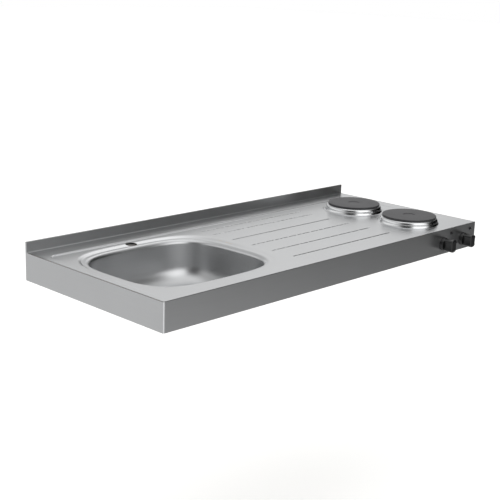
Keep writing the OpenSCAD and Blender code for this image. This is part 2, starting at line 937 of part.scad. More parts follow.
// Rotary switch behind the apron, with its bush through the sheet and blades at the back
module rotary_switch(i) {
    color("#262626") at_knob(i) difference() {
        union() {
            translate([-switch_s / 2, -switch_s / 2, -sheet_t - switch_deep])
                cube([switch_s, switch_s, switch_deep]);
            translate([0, 0, -sheet_t - over]) cylinder(h = sheet_t + over + bush_out, r = bush_r);
            for (u = [-1 : 1], v = [-1, 1])
                translate([u * blade_pitch - blade_w / 2, v * blade_pitch, -sheet_t - switch_deep - blade_l])
                    cube([blade_w, blade_t, blade_l + over]);
        }
        translate([0, 0, -spindle_back - gap])
            cylinder(h = spindle_back + bush_out + gap + over, r = spindle_r + run_gap);
        for (s = [-1, 1]) translate([s * screw_off, 0, -screw_len - sheet_t])
            cylinder(h = screw_len + over, r = screw_r + run_gap);
    }
}

module switch_screws() {
    color("silver") for (i = [0, 1], s = [-1, 1]) at_knob(i) translate([s * screw_off, 0, 0]) {
        translate([0, 0, -screw_len]) cylinder(h = screw_len, r = screw_r);
        cylinder(h = screw_head_h, r = screw_head_r);
    }
}

module at_lamp(i) {
    translate([x_knob[i] + lamp_dx, y_front, lamp_z]) rotate([90, 0, 0]) children();
}

module lamp_lens(i) {
    color("#2a0a0a") at_lamp(i) translate([0, 0, lamp_rim]) rotate_extrude() polygon([
        [0, 0], [lens_r, 0], [lens_r, lens_out / 3], [lens_r * 0.8, lens_out * 0.8],
        [lens_r * 0.4, lens_out], [0, lens_out]
    ]);
}

module lamp_body(i) {
    color("#1a1a1a") at_lamp(i) {
        cylinder(h = lamp_rim, r = lamp_r);
        translate([0, 0, -barrel_l]) cylinder(h = barrel_l, r = barrel_r);
        translate([0, 0, -sheet_t - clip_t]) cylinder(h = clip_t, r = clip_r);
    }
}

module left_knob() {
    knob(0);
}

module left_spindle() {
    spindle(0);
}

module left_switch() {
    rotary_switch(0);
}

module left_lamp_lens() {
    lamp_lens(0);
}

module left_lamp_body() {
    lamp_body(0);
}

module right_knob() {
    knob(1);
}

module right_spindle() {
    spindle(1);
}

module right_switch() {
    rotary_switch(1);
}

module right_lamp_lens() {
    lamp_lens(1);
}

module right_lamp_body() {
    lamp_body(1);
}

// Vented tray between the hob bearer and the end bearer
x_tray0 = x_hob_bearer + bearer_w;
x_tray1 = x_right - sheet_t - edge_bearer_w;
x_gland = x_right - gland_from_end;
y_gland = y_wall - gland_from_wall;

module hob_tray() {
    w = x_tray1 - x_tray0;
    d = tray_y1 - tray_y0;
    color("lightgray")
        difference() {
            translate([x_tray0, tray_y0, tray_z]) cube([w, d, tray_h]);
            translate([x_tray0 + tray_t, tray_y0 - over, tray_z + tray_t])
                cube([w - 2 * tray_t, d - tray_t + over, tray_h]);
            for (i = [0 : vent_cols - 1], j = [0 : vent_rows - 1])
                translate([x_tray0 + w * (i + 0.5) / vent_cols - vent_l / 2,
                           tray_y0 + vent_share * d * (j + 0.5) / vent_rows, tray_z - over])
                    cube([vent_l, vent_w, tray_t + 2 * over]);
            translate([x_gland, y_gland, tray_z - over]) cylinder(h = tray_t + 2 * over, r = gland_r + gap);
            translate([x_gland + block_l, y_gland, tray_z - over])
                cylinder(h = tray_t + 2 * over, r = earth_r + gap);
        }
}

module tray_screws() {
    color("silver") for (x = [x_tray0 + tray_t, x_tray1 - tray_t], y = [tray_y0, tray_y1])
        translate([x, y + (y < 0 ? 1 : -1) * vent_l, tray_z + tray_h - 2 * tray_screw_r - vent_w])
            rotate([0, x < x_gland ? 90 : -90, 0]) cylinder(h = tray_screw_h, r = 2 * tray_screw_r);
}

module mains_terminal() {
    color("ivory") translate([x_gland - block_l / 2, y_gland - block_gap - block_w, tray_z + tray_t]) {
        cube([block_l, block_w, block_h]);
        for (i = [0 : 3]) translate([block_l * (i + 0.7) / 4.4, block_w / 2, block_h])
            cylinder(h = post_h / 2, r = post_r);
    }
}

module earth_stud() {
    color("gold") translate([x_gland + block_l, y_gland, tray_z - earth_nut_h]) {
        cylinder(h = earth_nut_h, r = earth_nut_r, $fn = 6);
        cylinder(h = earth_l + earth_nut_h, r = earth_r);
        translate([0, 0, earth_nut_h + tray_t]) cylinder(h = earth_nut_h, r = earth_nut_r, $fn = 6);
    }
}

module cable_gland() {
    color("#303032") translate([x_gland, y_gland, tray_z]) difference() {
        union() {
            translate([0, 0, -gland_hex_h]) cylinder(h = gland_hex_h, r = gland_nut_r, $fn = 6);
            translate([0, 0, -gland_hex_h]) cylinder(h = gland_hex_h + tray_t + gland_nut_h + over, r = gland_r);
            translate([0, 0, -gland_hex_h - gland_cap_h])
                cylinder(h = gland_cap_h, r1 = gland_r * 0.8, r2 = gland_nut_r * 0.9);
        }
        translate([0, 0, -gland_hex_h - gland_cap_h - over])
            cylinder(h = gland_hex_h + gland_cap_h + tray_t + gland_nut_h + 3 * over, r = gland_bore_r);
    }
}

module gland_locknut() {
    color("#303032") translate([x_gland, y_gland, tray_z + tray_t])
        hex_nut(gland_nut_r, gland_r + run_gap, gland_nut_h);
}

// Wiring looms: straight sleeves with a rounded joint at every bend
module loom(points, r) {
    for (i = [0 : len(points) - 2]) {
        v = points[i + 1] - points[i];
        translate(points[i]) rotate([0, acos(v[2] / norm(v)), atan2(v[1], v[0])])
            cylinder(h = norm(v), r = r, $fn = 24);
    }
    for (i = [1 : len(points) - 2]) translate(points[i]) sphere(r = r * bead_share, $fn = 24);
}

// Loom from a switch to the terminal of its hotplate, on the given side
module plate_loom(i, y, side) {
    x = x_knob[i];
    y0 = y_front + sheet_t + switch_deep + blade_l;
    y1 = y0 + loom_turn;
    xs = hob_x + side * (term_l / 2 + loom_off);
    yt = y + term_off;
    zt = deck_z + cover_z - term_h / 2;
    color("#8a3b2a") loom([
        [x, y0, knob_z], [x, y1, knob_z], [xs, y1, knob_z], [xs, yt, knob_z], [xs, yt, zt],
        [hob_x + side * term_l / 2, yt, zt]
    ], loom_r);
}

module front_loom() {
    plate_loom(0, y_plate_front, -1);
}

module rear_loom() {
    plate_loom(1, y_plate_rear, 1);
}

// Supply from the mains terminal to the left switch, and on to the right one
y_supply = y_front + sheet_t + switch_deep / 2;

module mains_loom() {
    x = x_gland - block_l / 2;
    y = y_gland - block_gap - block_w / 2;
    z = tray_z + tray_t + block_h / 2;
    xs = x_tray0 + loom_turn;
    color("#2c2c2c") loom([
        [x, y, z], [xs, y, z], [xs, y_supply, z], [xs, y_supply, knob_z],
        [x_knob[0] - switch_s / 2, y_supply, knob_z]
    ], loom_r);
}

module switch_link() {
    x = x_knob[0] + switch_s / 2;
    color("#2c2c2c") translate([x, y_supply, knob_z]) rotate([0, 90, 0])
        cylinder(h = knob_pitch - switch_s, r = loom_r);
}

// Lead from a pilot lamp down to the top of its switch
module lamp_lead(i) {
    x = x_knob[i] + lamp_dx;
    y = y_front + barrel_l;
    yb = y + lead_turn;
    xs = x_knob[i] + switch_s / 4;
    color("#8a3b2a") loom([
        [x, y, lamp_z], [x, yb, lamp_z], [xs, yb, lamp_z], [xs, yb, knob_z + switch_s / 2]
    ], lead_r);
}

module left_lamp_lead() {
    lamp_lead(0);
}

module right_lamp_lead() {
    lamp_lead(1);
}

deck_sheet();
front_apron();
rear_upstand();
left_end_apron();
right_end_apron();
left_bearer();
bowl_bearer();
middle_bearer();
hob_bearer();
right_bearer();
sink_bowl();
tap_plate();
waste_cup();
waste_top_seal();
waste_under_seal();
waste_locknut();
strainer_basket();
basket_stopper();
basket_knob();
front_hotplate();
front_spill_ring();
front_element();
front_base_cover();
front_clamp_stud();
front_clamp_bridge();
front_clamp_nut();
front_plate_terminal();
rear_hotplate();
rear_spill_ring();
rear_element();
rear_base_cover();
rear_clamp_stud();
rear_clamp_bridge();
rear_clamp_nut();
rear_plate_terminal();
left_knob();
left_spindle();
left_switch();
left_lamp_lens();
left_lamp_body();
right_knob();
right_spindle();
right_switch();
right_lamp_lens();
right_lamp_body();
switch_screws();
hob_tray();
tray_screws();
mains_terminal();
earth_stud();
cable_gland();
gland_locknut();
front_loom();
rear_loom();
mains_loom();
switch_link();
left_lamp_lead();
right_lamp_lead();
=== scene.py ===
"""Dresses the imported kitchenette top: pressed deck, drawn bowl, hotplates, controls and underside."""

import math

import bmesh
import bpy
import numpy as np
from bpy.props import FloatProperty, FloatVectorProperty, IntProperty, PointerProperty
from mathutils import Matrix, Vector
from mathutils.geometry import delaunay_2d_cdt


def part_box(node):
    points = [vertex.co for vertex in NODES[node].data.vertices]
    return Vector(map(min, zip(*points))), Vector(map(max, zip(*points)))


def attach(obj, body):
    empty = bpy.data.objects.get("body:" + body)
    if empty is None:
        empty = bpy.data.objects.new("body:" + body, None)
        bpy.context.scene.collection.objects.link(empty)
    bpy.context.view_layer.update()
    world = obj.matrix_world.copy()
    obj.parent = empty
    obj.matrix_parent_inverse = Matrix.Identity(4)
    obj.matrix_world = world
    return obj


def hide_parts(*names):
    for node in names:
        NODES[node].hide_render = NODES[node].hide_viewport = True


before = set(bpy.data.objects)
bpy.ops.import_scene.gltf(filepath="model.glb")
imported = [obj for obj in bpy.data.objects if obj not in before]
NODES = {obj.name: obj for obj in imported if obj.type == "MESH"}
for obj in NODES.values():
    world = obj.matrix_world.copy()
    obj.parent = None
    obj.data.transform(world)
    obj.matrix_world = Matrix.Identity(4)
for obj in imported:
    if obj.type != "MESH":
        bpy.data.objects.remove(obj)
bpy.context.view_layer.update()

bl_info = {
    "name": "Kitchenette top",
    "version": (1, 0, 0),
    "blender": (4, 5, 0),
    "location": "View3D > Sidebar > Kitchenette",
    "description": "Builds the looks of a stainless kitchenette top with sink and hob",
    "category": "Object",
}

MM = 0.001


# Colours
def linear(code):
    """Turns an sRGB hex colour into linear values."""
    parts = [int(code[i:i + 2], 16) / 255 for i in (1, 3, 5)]
    return tuple(c / 12.92 if c <= 0.04045 else ((c + 0.055) / 1.055) ** 2.4 for c in parts)


STAINLESS = "#C9CACB"
BOWL_STAINLESS = "#C6C7C8"
BUFFED_STAINLESS = "#DADBDC"
ZINC = "#B4B8BA"
CAST_IRON = "#3C3C3E"
PHENOLIC = "#0D0D0E"
NYLON = "#202022"
LENS = "#0A0809"
STEATITE = "#D9D1BF"
PINE_EARLY = "#D8B98A"
PINE_LATE = "#A9763F"
RUBBER = "#141414"
# Black zinc for the tap plate, so that the tap hole over it reads dark: painted shade, though black
# passivation is a real finish
ZINC_DARKENED_FOR_SHADE = "#1C1C1E"
POLYPROPYLENE = "#E6E6E2"
BRASS = "#C9A24E"
SLEEVE_BROWN = "#7A3A28"
SLEEVE_BLACK = "#1A1A1B"
FLOOR = "#F2F2F0"


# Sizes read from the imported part, in millimetres
def box_mm(node):
    """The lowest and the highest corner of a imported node."""
    low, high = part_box(node)
    return np.array(low) / MM, np.array(high) / MM


def centre_mm(node):
    """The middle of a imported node."""
    low, high = box_mm(node)
    return (low + high) / 2


def radius_mm(node):
    """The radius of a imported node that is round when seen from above."""
    low, high = box_mm(node)
    return (high - low)[0] / 2


DECK_BACK, DECK_Z = box_mm("deck_sheet")[1][1:]
BOWL_X, BOWL_Y = centre_mm("sink_bowl")[:2]
BOWL_LOW = box_mm("sink_bowl")[0][2]
TAP_X = centre_mm("tap_plate")[0]
TAP_BACK = box_mm("tap_plate")[1][1]
PLATES = {side: centre_mm(side + "_hotplate")[:2] for side in ("front", "rear")}
PLATE_R = radius_mm("front_hotplate")
RING_R = radius_mm("front_spill_ring")
RING_TOP = box_mm("front_spill_ring")[1][2] - DECK_Z
KNOBS = {side: centre_mm(side + "_knob") for side in ("left", "right")}
LAMPS = {side: centre_mm(side + "_lamp_lens") for side in ("left", "right")}

# Edges of the deck and thickness of the sheet, in millimetres
EDGE_X = 700.0
FRONT_Y = -300.0
SHEET = 1.0


# Properties
class KitchenetteSizes(bpy.types.PropertyGroup):
    """Sizes of the pressings, in the model's own metres."""

    border_soft: FloatProperty(
        name="Border softness", description="Width of the soft step round the pressed area",
        default=4 * MM, min=2 * MM, max=12 * MM, unit="LENGTH")
    roll_radius: FloatProperty(
        name="Roll radius", description="Radius of the rolled edge where the deck turns down into the bowl",
        default=13 * MM, min=8 * MM, max=16 * MM, unit="LENGTH")
    groove_half: FloatProperty(
        name="Groove half width", description="Half the width of a drainer groove at the deck",
        default=3.6 * MM, min=3 * MM, max=7 * MM, unit="LENGTH")
    groove_depth: FloatProperty(
        name="Groove depth", description="Depth of a drainer groove",
        default=2.2 * MM, min=0.8 * MM, max=2.4 * MM, unit="LENGTH")
    fold_radius: FloatProperty(
        name="Fold radius", description="Radius of the fold along the edges of the deck",
        default=1 * MM, min=0.4 * MM, max=1 * MM, unit="LENGTH")
    round_steps: IntProperty(
        name="Steps round", description="Steps round the bowl and the turned pieces",
        default=256, min=96, max=512)


class KitchenetteColours(bpy.types.PropertyGroup):
    """Colours of the finishes that show most."""

    stainless: FloatVectorProperty(
        name="Stainless", description="Reflection colour of the brushed sheet",
        subtype="COLOR", size=3, min=0, max=1, default=linear(STAINLESS))
    cast_iron: FloatVectorProperty(
        name="Cast iron", description="Colour of the hotplate castings",
        subtype="COLOR", size=3, min=0, max=1, default=linear(CAST_IRON))
    phenolic: FloatVectorProperty(
        name="Phenolic", description="Colour of the moulded knobs",
        subtype="COLOR", size=3, min=0, max=1, default=linear(PHENOLIC))


# Materials
def add(tree, kind, inputs=None, output=None, **settings):
    """Adds a node with its settings, sets or links its inputs, and gives it back or one of its outputs."""
    node = tree.nodes.new("ShaderNode" + kind)
    for key, value in settings.items():
        setattr(node, key, value)
    for key, value in (inputs or {}).items():
        if isinstance(value, bpy.types.NodeSocket):
            tree.links.new(value, node.inputs[key])
        else:
            node.inputs[key].default_value = value
    return node if output is None else node.outputs[output]


def new_material(name):
    """An empty node material, with the object's own coordinates in metres."""
    material = bpy.data.materials.new(name)
    material.use_nodes = True
    tree = material.node_tree
    tree.nodes.clear()
    return material, tree, add(tree, "TexCoord", output="Object")


def per_mm(x, y=None, z=None):
    """Mapping scale that makes a pattern's unit the given size in millimetres along each axis."""
    return tuple(1 / (size * MM) for size in (x, y or x, z or x))


def shades(colour, *amounts):
    """The colour made darker or lighter by each factor, with its alpha."""
    return [(*(min(1.0, c * amount) for c in colour), 1) for amount in amounts]


def closed(material, shader, tone, ends, gloss=None, relief=None):
    """Closes a material. A pattern moves its colour between two ends. Where they are given, a pattern moves
    the roughness by a span about its middle, and one raises the face by a strength and millimetres."""
    tree = material.node_tree
    shader["Base Color"] = add(tree, "Mix", {"Factor": tone, "A": ends[0], "B": ends[1]}, "Result",
                               data_type="RGBA")
    if gloss:
        pattern, span, middle = gloss
        shader["Roughness"] = add(tree, "Math", {0: pattern, 1: span, 2: middle - span / 2}, 0,
                                  operation="MULTIPLY_ADD")
    if relief:
        pattern, strength, deep = relief
        shader["Normal"] = add(tree, "Bump",
                               {"Height": pattern, "Strength": strength, "Distance": deep * MM}, "Normal")
    add(tree, "OutputMaterial", {"Surface": add(tree, "BsdfPrincipled", shader, "BSDF")})
    return material


def brushed_stainless(name, colour, rough, brushed_along):
    """Stainless sheet, belt-brushed. The belt leaves fine parallel scratches that blur what the
    sheet reflects. They are about 0.1 mm wide, too fine for this view, so they are drawn about
    1 mm wide and very weak."""
    material, tree, where = new_material(name)
    across, along = 1.1, 110
    size = [across, across, across]
    size[brushed_along] = along
    lines = add(tree, "Mapping", {"Vector": where, "Scale": per_mm(*size)}, "Vector")
    scratches = add(tree, "TexNoise", {"Vector": lines, "Scale": 1, "Detail": 3, "Roughness": 0.65}, "Fac")
    wide = add(tree, "Mapping", {"Vector": where, "Scale": per_mm(150)}, "Vector")
    rolling = add(tree, "TexNoise", {"Vector": wide, "Scale": 1, "Detail": 2}, "Fac")
    tone = add(tree, "Math", {0: scratches, 1: rolling}, 0, operation="MULTIPLY")
    return closed(material, {"Metallic": 1}, tone, shades(colour, 0.96, 1.1),
                  (scratches, 0.07, rough), relief=(scratches, 0.05, 0.02))


def drawn_stainless(name, colour, rough):
    """Stainless sheet, deep drawn and then polished with a felt wheel that runs round the bowl. The
    drawing leaves a faint orange peel about 2 mm across, and the wheel soft level streaks."""
    material, tree, where = new_material(name)
    small = add(tree, "Mapping", {"Vector": where, "Scale": per_mm(2.2)}, "Vector")
    peel = add(tree, "TexNoise", {"Vector": small, "Scale": 1, "Detail": 2}, "Fac")
    level = add(tree, "Mapping", {"Vector": where, "Scale": per_mm(120, 120, 5)}, "Vector")
    streaks = add(tree, "TexNoise", {"Vector": level, "Scale": 1, "Detail": 2, "Roughness": 0.6}, "Fac")
    return closed(material, {"Metallic": 1}, streaks, shades(colour, 0.98, 1.03),
                  (streaks, 0.02, rough), relief=(peel, 0.01, 0.02))


def turned_iron(name, colour):
    """Grey cast iron, turned on its face and blackened. The lathe leaves rings about 0.8 mm apart,
    drawn 2.5 mm apart so that they show, and the heat leaves soft lighter patches. The rings run
    round each plate, so the coordinates fold about the line between the two plates."""
    material, tree, where = new_material(name)
    apart = 2.5
    middle = (PLATES["front"] + PLATES["rear"]) / 2
    half = (PLATES["rear"][1] - PLATES["front"][1]) / 2
    from_middle = add(tree, "VectorMath", {0: where, 1: (middle[0] * MM, middle[1] * MM, 0)}, 0,
                      operation="SUBTRACT")
    folded = add(tree, "VectorMath", {0: from_middle}, 0, operation="ABSOLUTE")
    from_plate = add(tree, "VectorMath", {0: folded, 1: (0, half * MM, 0)}, 0, operation="SUBTRACT")
    flat = add(tree, "VectorMath", {0: from_plate, 1: (1, 1, 0)}, 0, operation="MULTIPLY")
    radius = add(tree, "VectorMath", {0: flat}, "Value", operation="LENGTH")
    turns = add(tree, "Math", {0: radius, 1: math.tau / (apart * MM)}, 0, operation="MULTIPLY")
    rings = add(tree, "Math", {0: turns}, 0, operation="SINE")
    fine = add(tree, "Mapping", {"Vector": where, "Scale": per_mm(0.9)}, "Vector")
    grain = add(tree, "TexNoise", {"Vector": fine, "Scale": 1, "Detail": 4, "Roughness": 0.7}, "Fac")
    broad = add(tree, "Mapping", {"Vector": where, "Scale": per_mm(45)}, "Vector")
    heat = add(tree, "TexNoise", {"Vector": broad, "Scale": 1, "Detail": 3}, "Fac")
    relief = add(tree, "Math", {0: rings, 1: 0.3, 2: grain}, 0, operation="MULTIPLY_ADD")
    return closed(material, {"IOR": 1.5}, heat, shades(colour, 0.7, 1.3),
                  (grain, 0.2, 0.52), relief=(relief, 0.2, 0.06))


def spun_stainless(name, colour, rough):
    """Thin stainless, spun to shape and buffed bright. Spinning leaves faint level rings, and what
    boils over dulls it in small soft spots."""
    material, tree, where = new_material(name)
    spotted = add(tree, "Mapping", {"Vector": where, "Scale": per_mm(14)}, "Vector")
    spots = add(tree, "TexNoise", {"Vector": spotted, "Scale": 1, "Detail": 3}, "Fac")
    level = add(tree, "Mapping", {"Vector": where, "Scale": per_mm(120, 120, 0.9)}, "Vector")
    rings = add(tree, "TexNoise", {"Vector": level, "Scale": 1, "Detail": 2}, "Fac")
    return closed(material, {"Metallic": 1}, spots, shades(colour, 0.95, 1.03),
                  (spots, 0.08, rough), relief=(rings, 0.04, 0.02))


def plated_steel(name, colour):
    """Mild steel, zinc plated and passivated, blue or black. The zinc grows in crystals of about 3 mm,
    which give a mottled, satin grey or black."""
    material, tree, where = new_material(name)
    fine = add(tree, "Mapping", {"Vector": where, "Scale": per_mm(3)}, "Vector")
    crystals = add(tree, "TexVoronoi", {"Vector": fine, "Scale": 1}, "Color")
    tint = add(tree, "SeparateColor", {"Color": crystals}, "Red")
    return closed(material, {"Metallic": 1}, tint, shades(colour, 0.9, 1.06), (tint, 0.12, 0.4))


def moulded(name, colour, rough, grain_mm, ior, relief):
    """Moulded plastic or rubber. The mould's spark-eroded face leaves a fine even grain, and
    handling leaves the surface a little glossier in patches."""
    material, tree, where = new_material(name)
    fine = add(tree, "Mapping", {"Vector": where, "Scale": per_mm(grain_mm)}, "Vector")
    grain = add(tree, "TexNoise", {"Vector": fine, "Scale": 1, "Detail": 3, "Roughness": 0.6}, "Fac")
    broad = add(tree, "Mapping", {"Vector": where, "Scale": per_mm(16)}, "Vector")
    touch = add(tree, "TexNoise", {"Vector": broad, "Scale": 1, "Detail": 2}, "Fac")
    return closed(material, {"IOR": ior}, touch, shades(colour, 0.88, 1.15),
                  (touch, 0.1, rough), relief=(grain, relief, 0.05))


def fired_steatite(name, colour):
    """Steatite, pressed and fired without a glaze. It is chalky and off-white, with fine dark specks."""
    material, tree, where = new_material(name)
    fine = add(tree, "Mapping", {"Vector": where, "Scale": per_mm(0.7)}, "Vector")
    grit = add(tree, "TexNoise", {"Vector": fine, "Scale": 1, "Detail": 2}, "Fac")
    specks = add(tree, "MapRange", {"Value": grit, "From Min": 0.62, "From Max": 0.72}, "Result")
    return closed(material, {"IOR": 1.55, "Roughness": 0.72}, specks, shades(colour, 1, 0.6),
                  relief=(grit, 0.15, 0.05))


def planed_pine(name, early, late):
    """Pine, planed and left bare. Growth rings about 4 mm apart run the length of each bearer, and
    show as pale early wood and darker late wood."""
    material, tree, where = new_material(name)
    grown = add(tree, "Mapping", {"Vector": where, "Scale": per_mm(4, 90, 4)}, "Vector")
    rings = add(tree, "TexWave", {"Vector": grown, "Scale": 0.16, "Distortion": 4, "Detail": 2}, "Fac",
                bands_direction="DIAGONAL")
    along = add(tree, "Mapping", {"Vector": where, "Scale": per_mm(0.6, 16, 0.6)}, "Vector")
    fibre = add(tree, "TexNoise", {"Vector": along, "Scale": 1, "Detail": 3}, "Fac")
    tone = add(tree, "Math", {0: rings, 1: fibre}, 0, operation="MULTIPLY")
    return closed(material, {"IOR": 1.45, "Roughness": 0.62}, tone, [(*early, 1), (*late, 1)],
                  relief=(fibre, 0.2, 0.1))


def braided_sleeve(name, colour):
    """Glass-fibre sleeve, braided and varnished. The strands cross about 1.2 mm apart."""
    material, tree, where = new_material(name)
    fine = add(tree, "Mapping", {"Vector": where, "Scale": per_mm(1.2)}, "Vector")
    dark, light = shades(colour, 0.7, 1.3)
    weave = add(tree, "TexChecker", {"Vector": fine, "Scale": 1, "Color1": dark, "Color2": light})
    strand, tint = weave.outputs["Fac"], weave.outputs["Color"]
    bump = add(tree, "Bump", {"Height": strand, "Strength": 0.4, "Distance": 0.2 * MM}, "Normal")
    glass = add(tree, "BsdfPrincipled",
                {"IOR": 1.5, "Roughness": 0.5, "Base Color": tint, "Normal": bump}, "BSDF")
    add(tree, "OutputMaterial", {"Surface": glass})
    return material


def turned_brass(name, colour):
    """Brass, turned and left to dull in the air, with a few browner patches."""
    material, tree, where = new_material(name)
    broad = add(tree, "Mapping", {"Vector": where, "Scale": per_mm(5)}, "Vector")
    patina = add(tree, "TexNoise", {"Vector": broad, "Scale": 1, "Detail": 3}, "Fac")
    return closed(material, {"Metallic": 1}, patina, shades(colour, 1.1, 0.7), (patina, 0.2, 0.32))


MATERIALS = {}


def finish(key):
    """The material of that key, made the first time that it is asked for."""
    colours = bpy.context.scene.kitchenette_colours
    sheet, iron, phenolic = tuple(colours.stainless), tuple(colours.cast_iron), tuple(colours.phenolic)
    makers = {
        "along": (brushed_stainless, "Brushed stainless, along", sheet, 0.3, 0),
        "across": (brushed_stainless, "Brushed stainless, across", sheet, 0.3, 1),
        "bowl": (drawn_stainless, "Drawn and polished stainless", linear(BOWL_STAINLESS), 0.34),
        "bright": (spun_stainless, "Spun and buffed stainless", linear(BUFFED_STAINLESS), 0.22),
        "zinc": (plated_steel, "Zinc-plated steel", linear(ZINC)),
        # Darkened zinc: painted shade for the tap hole
        "zinc darkened for shade": (plated_steel, "Zinc-plated steel, black", linear(ZINC_DARKENED_FOR_SHADE)),
        "iron": (turned_iron, "Turned and blackened cast iron", iron),
        "phenolic": (moulded, "Moulded phenolic", phenolic, 0.36, 0.5, 1.55, 0.12),
        "nylon": (moulded, "Moulded glass-filled nylon", linear(NYLON), 0.58, 0.6, 1.53, 0.25),
        "lens": (moulded, "Moulded smoked acrylic", linear(LENS), 0.12, 2, 1.49, 0.02),
        "steatite": (fired_steatite, "Unglazed steatite", linear(STEATITE)),
        "pine": (planed_pine, "Planed pine", linear(PINE_EARLY), linear(PINE_LATE)),
        "rubber": (moulded, "Moulded nitrile rubber", linear(RUBBER), 0.7, 0.8, 1.5, 0.3),
        "white": (moulded, "Moulded polypropylene", linear(POLYPROPYLENE), 0.42, 0.8, 1.49, 0.12),
        "brass": (turned_brass, "Turned brass", linear(BRASS)),
        "brown": (braided_sleeve, "Braided sleeve, brown", linear(SLEEVE_BROWN)),
        "black": (braided_sleeve, "Braided sleeve, black", linear(SLEEVE_BLACK)),
    }
    if key not in MATERIALS:
        maker, *what = makers[key]
        MATERIALS[key] = maker(*what)
    return MATERIALS[key]


def dress(key, *nodes):
    """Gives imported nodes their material."""
    for node in nodes:
        mesh = NODES[node].data
        mesh.materials.clear()
        mesh.materials.append(finish(key))


# Mesh helpers
def piece(name, points, faces, key, body, normals=None):
    """Makes an object from points in millimetres, and lets it ride on a body."""
    mesh = bpy.data.meshes.new(name)
    mesh.from_pydata((np.asarray(points, float) * MM).tolist(), [], [list(map(int, f)) for f in faces])
    mesh.validate()
    mesh.shade_smooth()
    if normals is not None:
        mesh.normals_split_custom_set_from_vertices([tuple(n) for n in normals])
    thing = bpy.data.objects.new(name, mesh)
    bpy.context.scene.collection.objects.link(thing)
    mesh.materials.append(finish(key))
    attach(thing, body)
    return thing


def ease(t):
    """A smooth step from 0 to 1."""
    t = np.clip(t, 0.0, 1.0)
    return t * t * (3 - 2 * t)


def round_box(x, y, x0, x1, y0, y1, r):
    """Signed distance to a rectangle with round corners, negative inside."""
    qx = np.abs(x - (x0 + x1) / 2) - (x1 - x0) / 2 + r
    qy = np.abs(y - (y0 + y1) / 2) - (y1 - y0) / 2 + r
    beyond = np.hypot(np.maximum(qx, 0), np.maximum(qy, 0))
    return beyond + np.minimum(np.maximum(qx, qy), 0) - r


def round_box_loop(x0, x1, y0, y1, r, step):
    """Points round a rectangle with round corners, anticlockwise."""
    points = []
    corners = [(x1 - r, y0 + r, -90), (x1 - r, y1 - r, 0), (x0 + r, y1 - r, 90), (x0 + r, y0 + r, 180)]
    turns = max(3, int(round(r * math.pi / 2 / step)))
    for i, (cx, cy, start) in enumerate(corners):
        for k in range(turns + 1):
            a = math.radians(start + 90 * k / turns)
            points.append((cx + r * math.cos(a), cy + r * math.sin(a)))
        nx, ny, begin = corners[(i + 1) % 4]
        a = math.radians(begin)
        end = np.array([nx + r * math.cos(a), ny + r * math.sin(a)])
        here = np.array(points[-1])
        count = max(1, int(round(np.linalg.norm(end - here) / step)))
        points += [tuple(here + (end - here) * k / count) for k in range(1, count)]
    return np.array(points)


def circle(cx, cy, r, count):
    """Points round a circle."""
    a = np.arange(count) * 2 * np.pi / count
    return np.stack([cx + r * np.cos(a), cy + r * np.sin(a)], 1)


ON_AXIS = 1e-6


def lathe(profile, steps):
    """Points and faces of a closed profile of (radius, height) turned about Z."""
    profile = np.array(profile, float)
    n = len(profile)
    a = np.arange(steps) * 2 * np.pi / steps
    points = np.stack([np.outer(np.cos(a), profile[:, 0]), np.outer(np.sin(a), profile[:, 0]),
                       np.tile(profile[:, 1], (steps, 1))], 2).reshape(-1, 3)
    faces = []
    for i in range(steps):
        j = (i + 1) % steps
        for k in range(n):
            m = (k + 1) % n
            if profile[k, 0] > ON_AXIS or profile[m, 0] > ON_AXIS:
                faces.append((i * n + k, j * n + k, j * n + m, i * n + m))
    return points, faces


def soften(profile, radii, steps=5):
    """Rounds the corners of a closed profile by the given radii, as far as its sides leave room."""
    room, straight = 0.48, 1e-6
    profile = [np.array(p, float) for p in profile]
    out = []
    for i, (p, r) in enumerate(zip(profile, np.broadcast_to(radii, len(profile)))):
        if r <= 0 or p[0] < ON_AXIS:
            out.append(p)
            continue
        before, after = profile[i - 1] - p, profile[(i + 1) % len(profile)] - p
        la, lb = np.linalg.norm(before), np.linalg.norm(after)
        u, v = before / la, after / lb
        half = math.acos(max(-1, min(1, float(u @ v)))) / 2
        cut = min(r / max(math.tan(half), straight), la * room, lb * room)
        a, b = p + u * cut, p + v * cut
        for k in range(steps + 1):
            t = k / steps
            out.append((1 - t) ** 2 * a + 2 * t * (1 - t) * p + t * t * b)
    return out


UPRIGHT = np.eye(3)
OUTWARD = np.array([[1, 0, 0], [0, 0, -1], [0, 1, 0]], float)
TOUCHING = 1e-7


def turned(name, profile, place, key, body, steps, sharp=35, turn=UPRIGHT):
    """A turned piece at a place in millimetres; turn is a rotation matrix for the axis."""
    points, faces = lathe(profile, steps)
    made = piece(name, points @ turn.T + np.array(place), faces, key, body)
    weld(made, sharp)
    return made


def weld(thing, sharp):
    """Joins points that touch, turns the faces outwards, and keeps edges over an angle sharp."""
    mesh = bmesh.new()
    mesh.from_mesh(thing.data)
    bmesh.ops.remove_doubles(mesh, verts=mesh.verts, dist=TOUCHING)
    bmesh.ops.recalc_face_normals(mesh, faces=mesh.faces)
    mesh.to_mesh(thing.data)
    mesh.free()
    thing.data.shade_smooth()
    thing.data.set_sharp_from_angle(angle=math.radians(sharp))


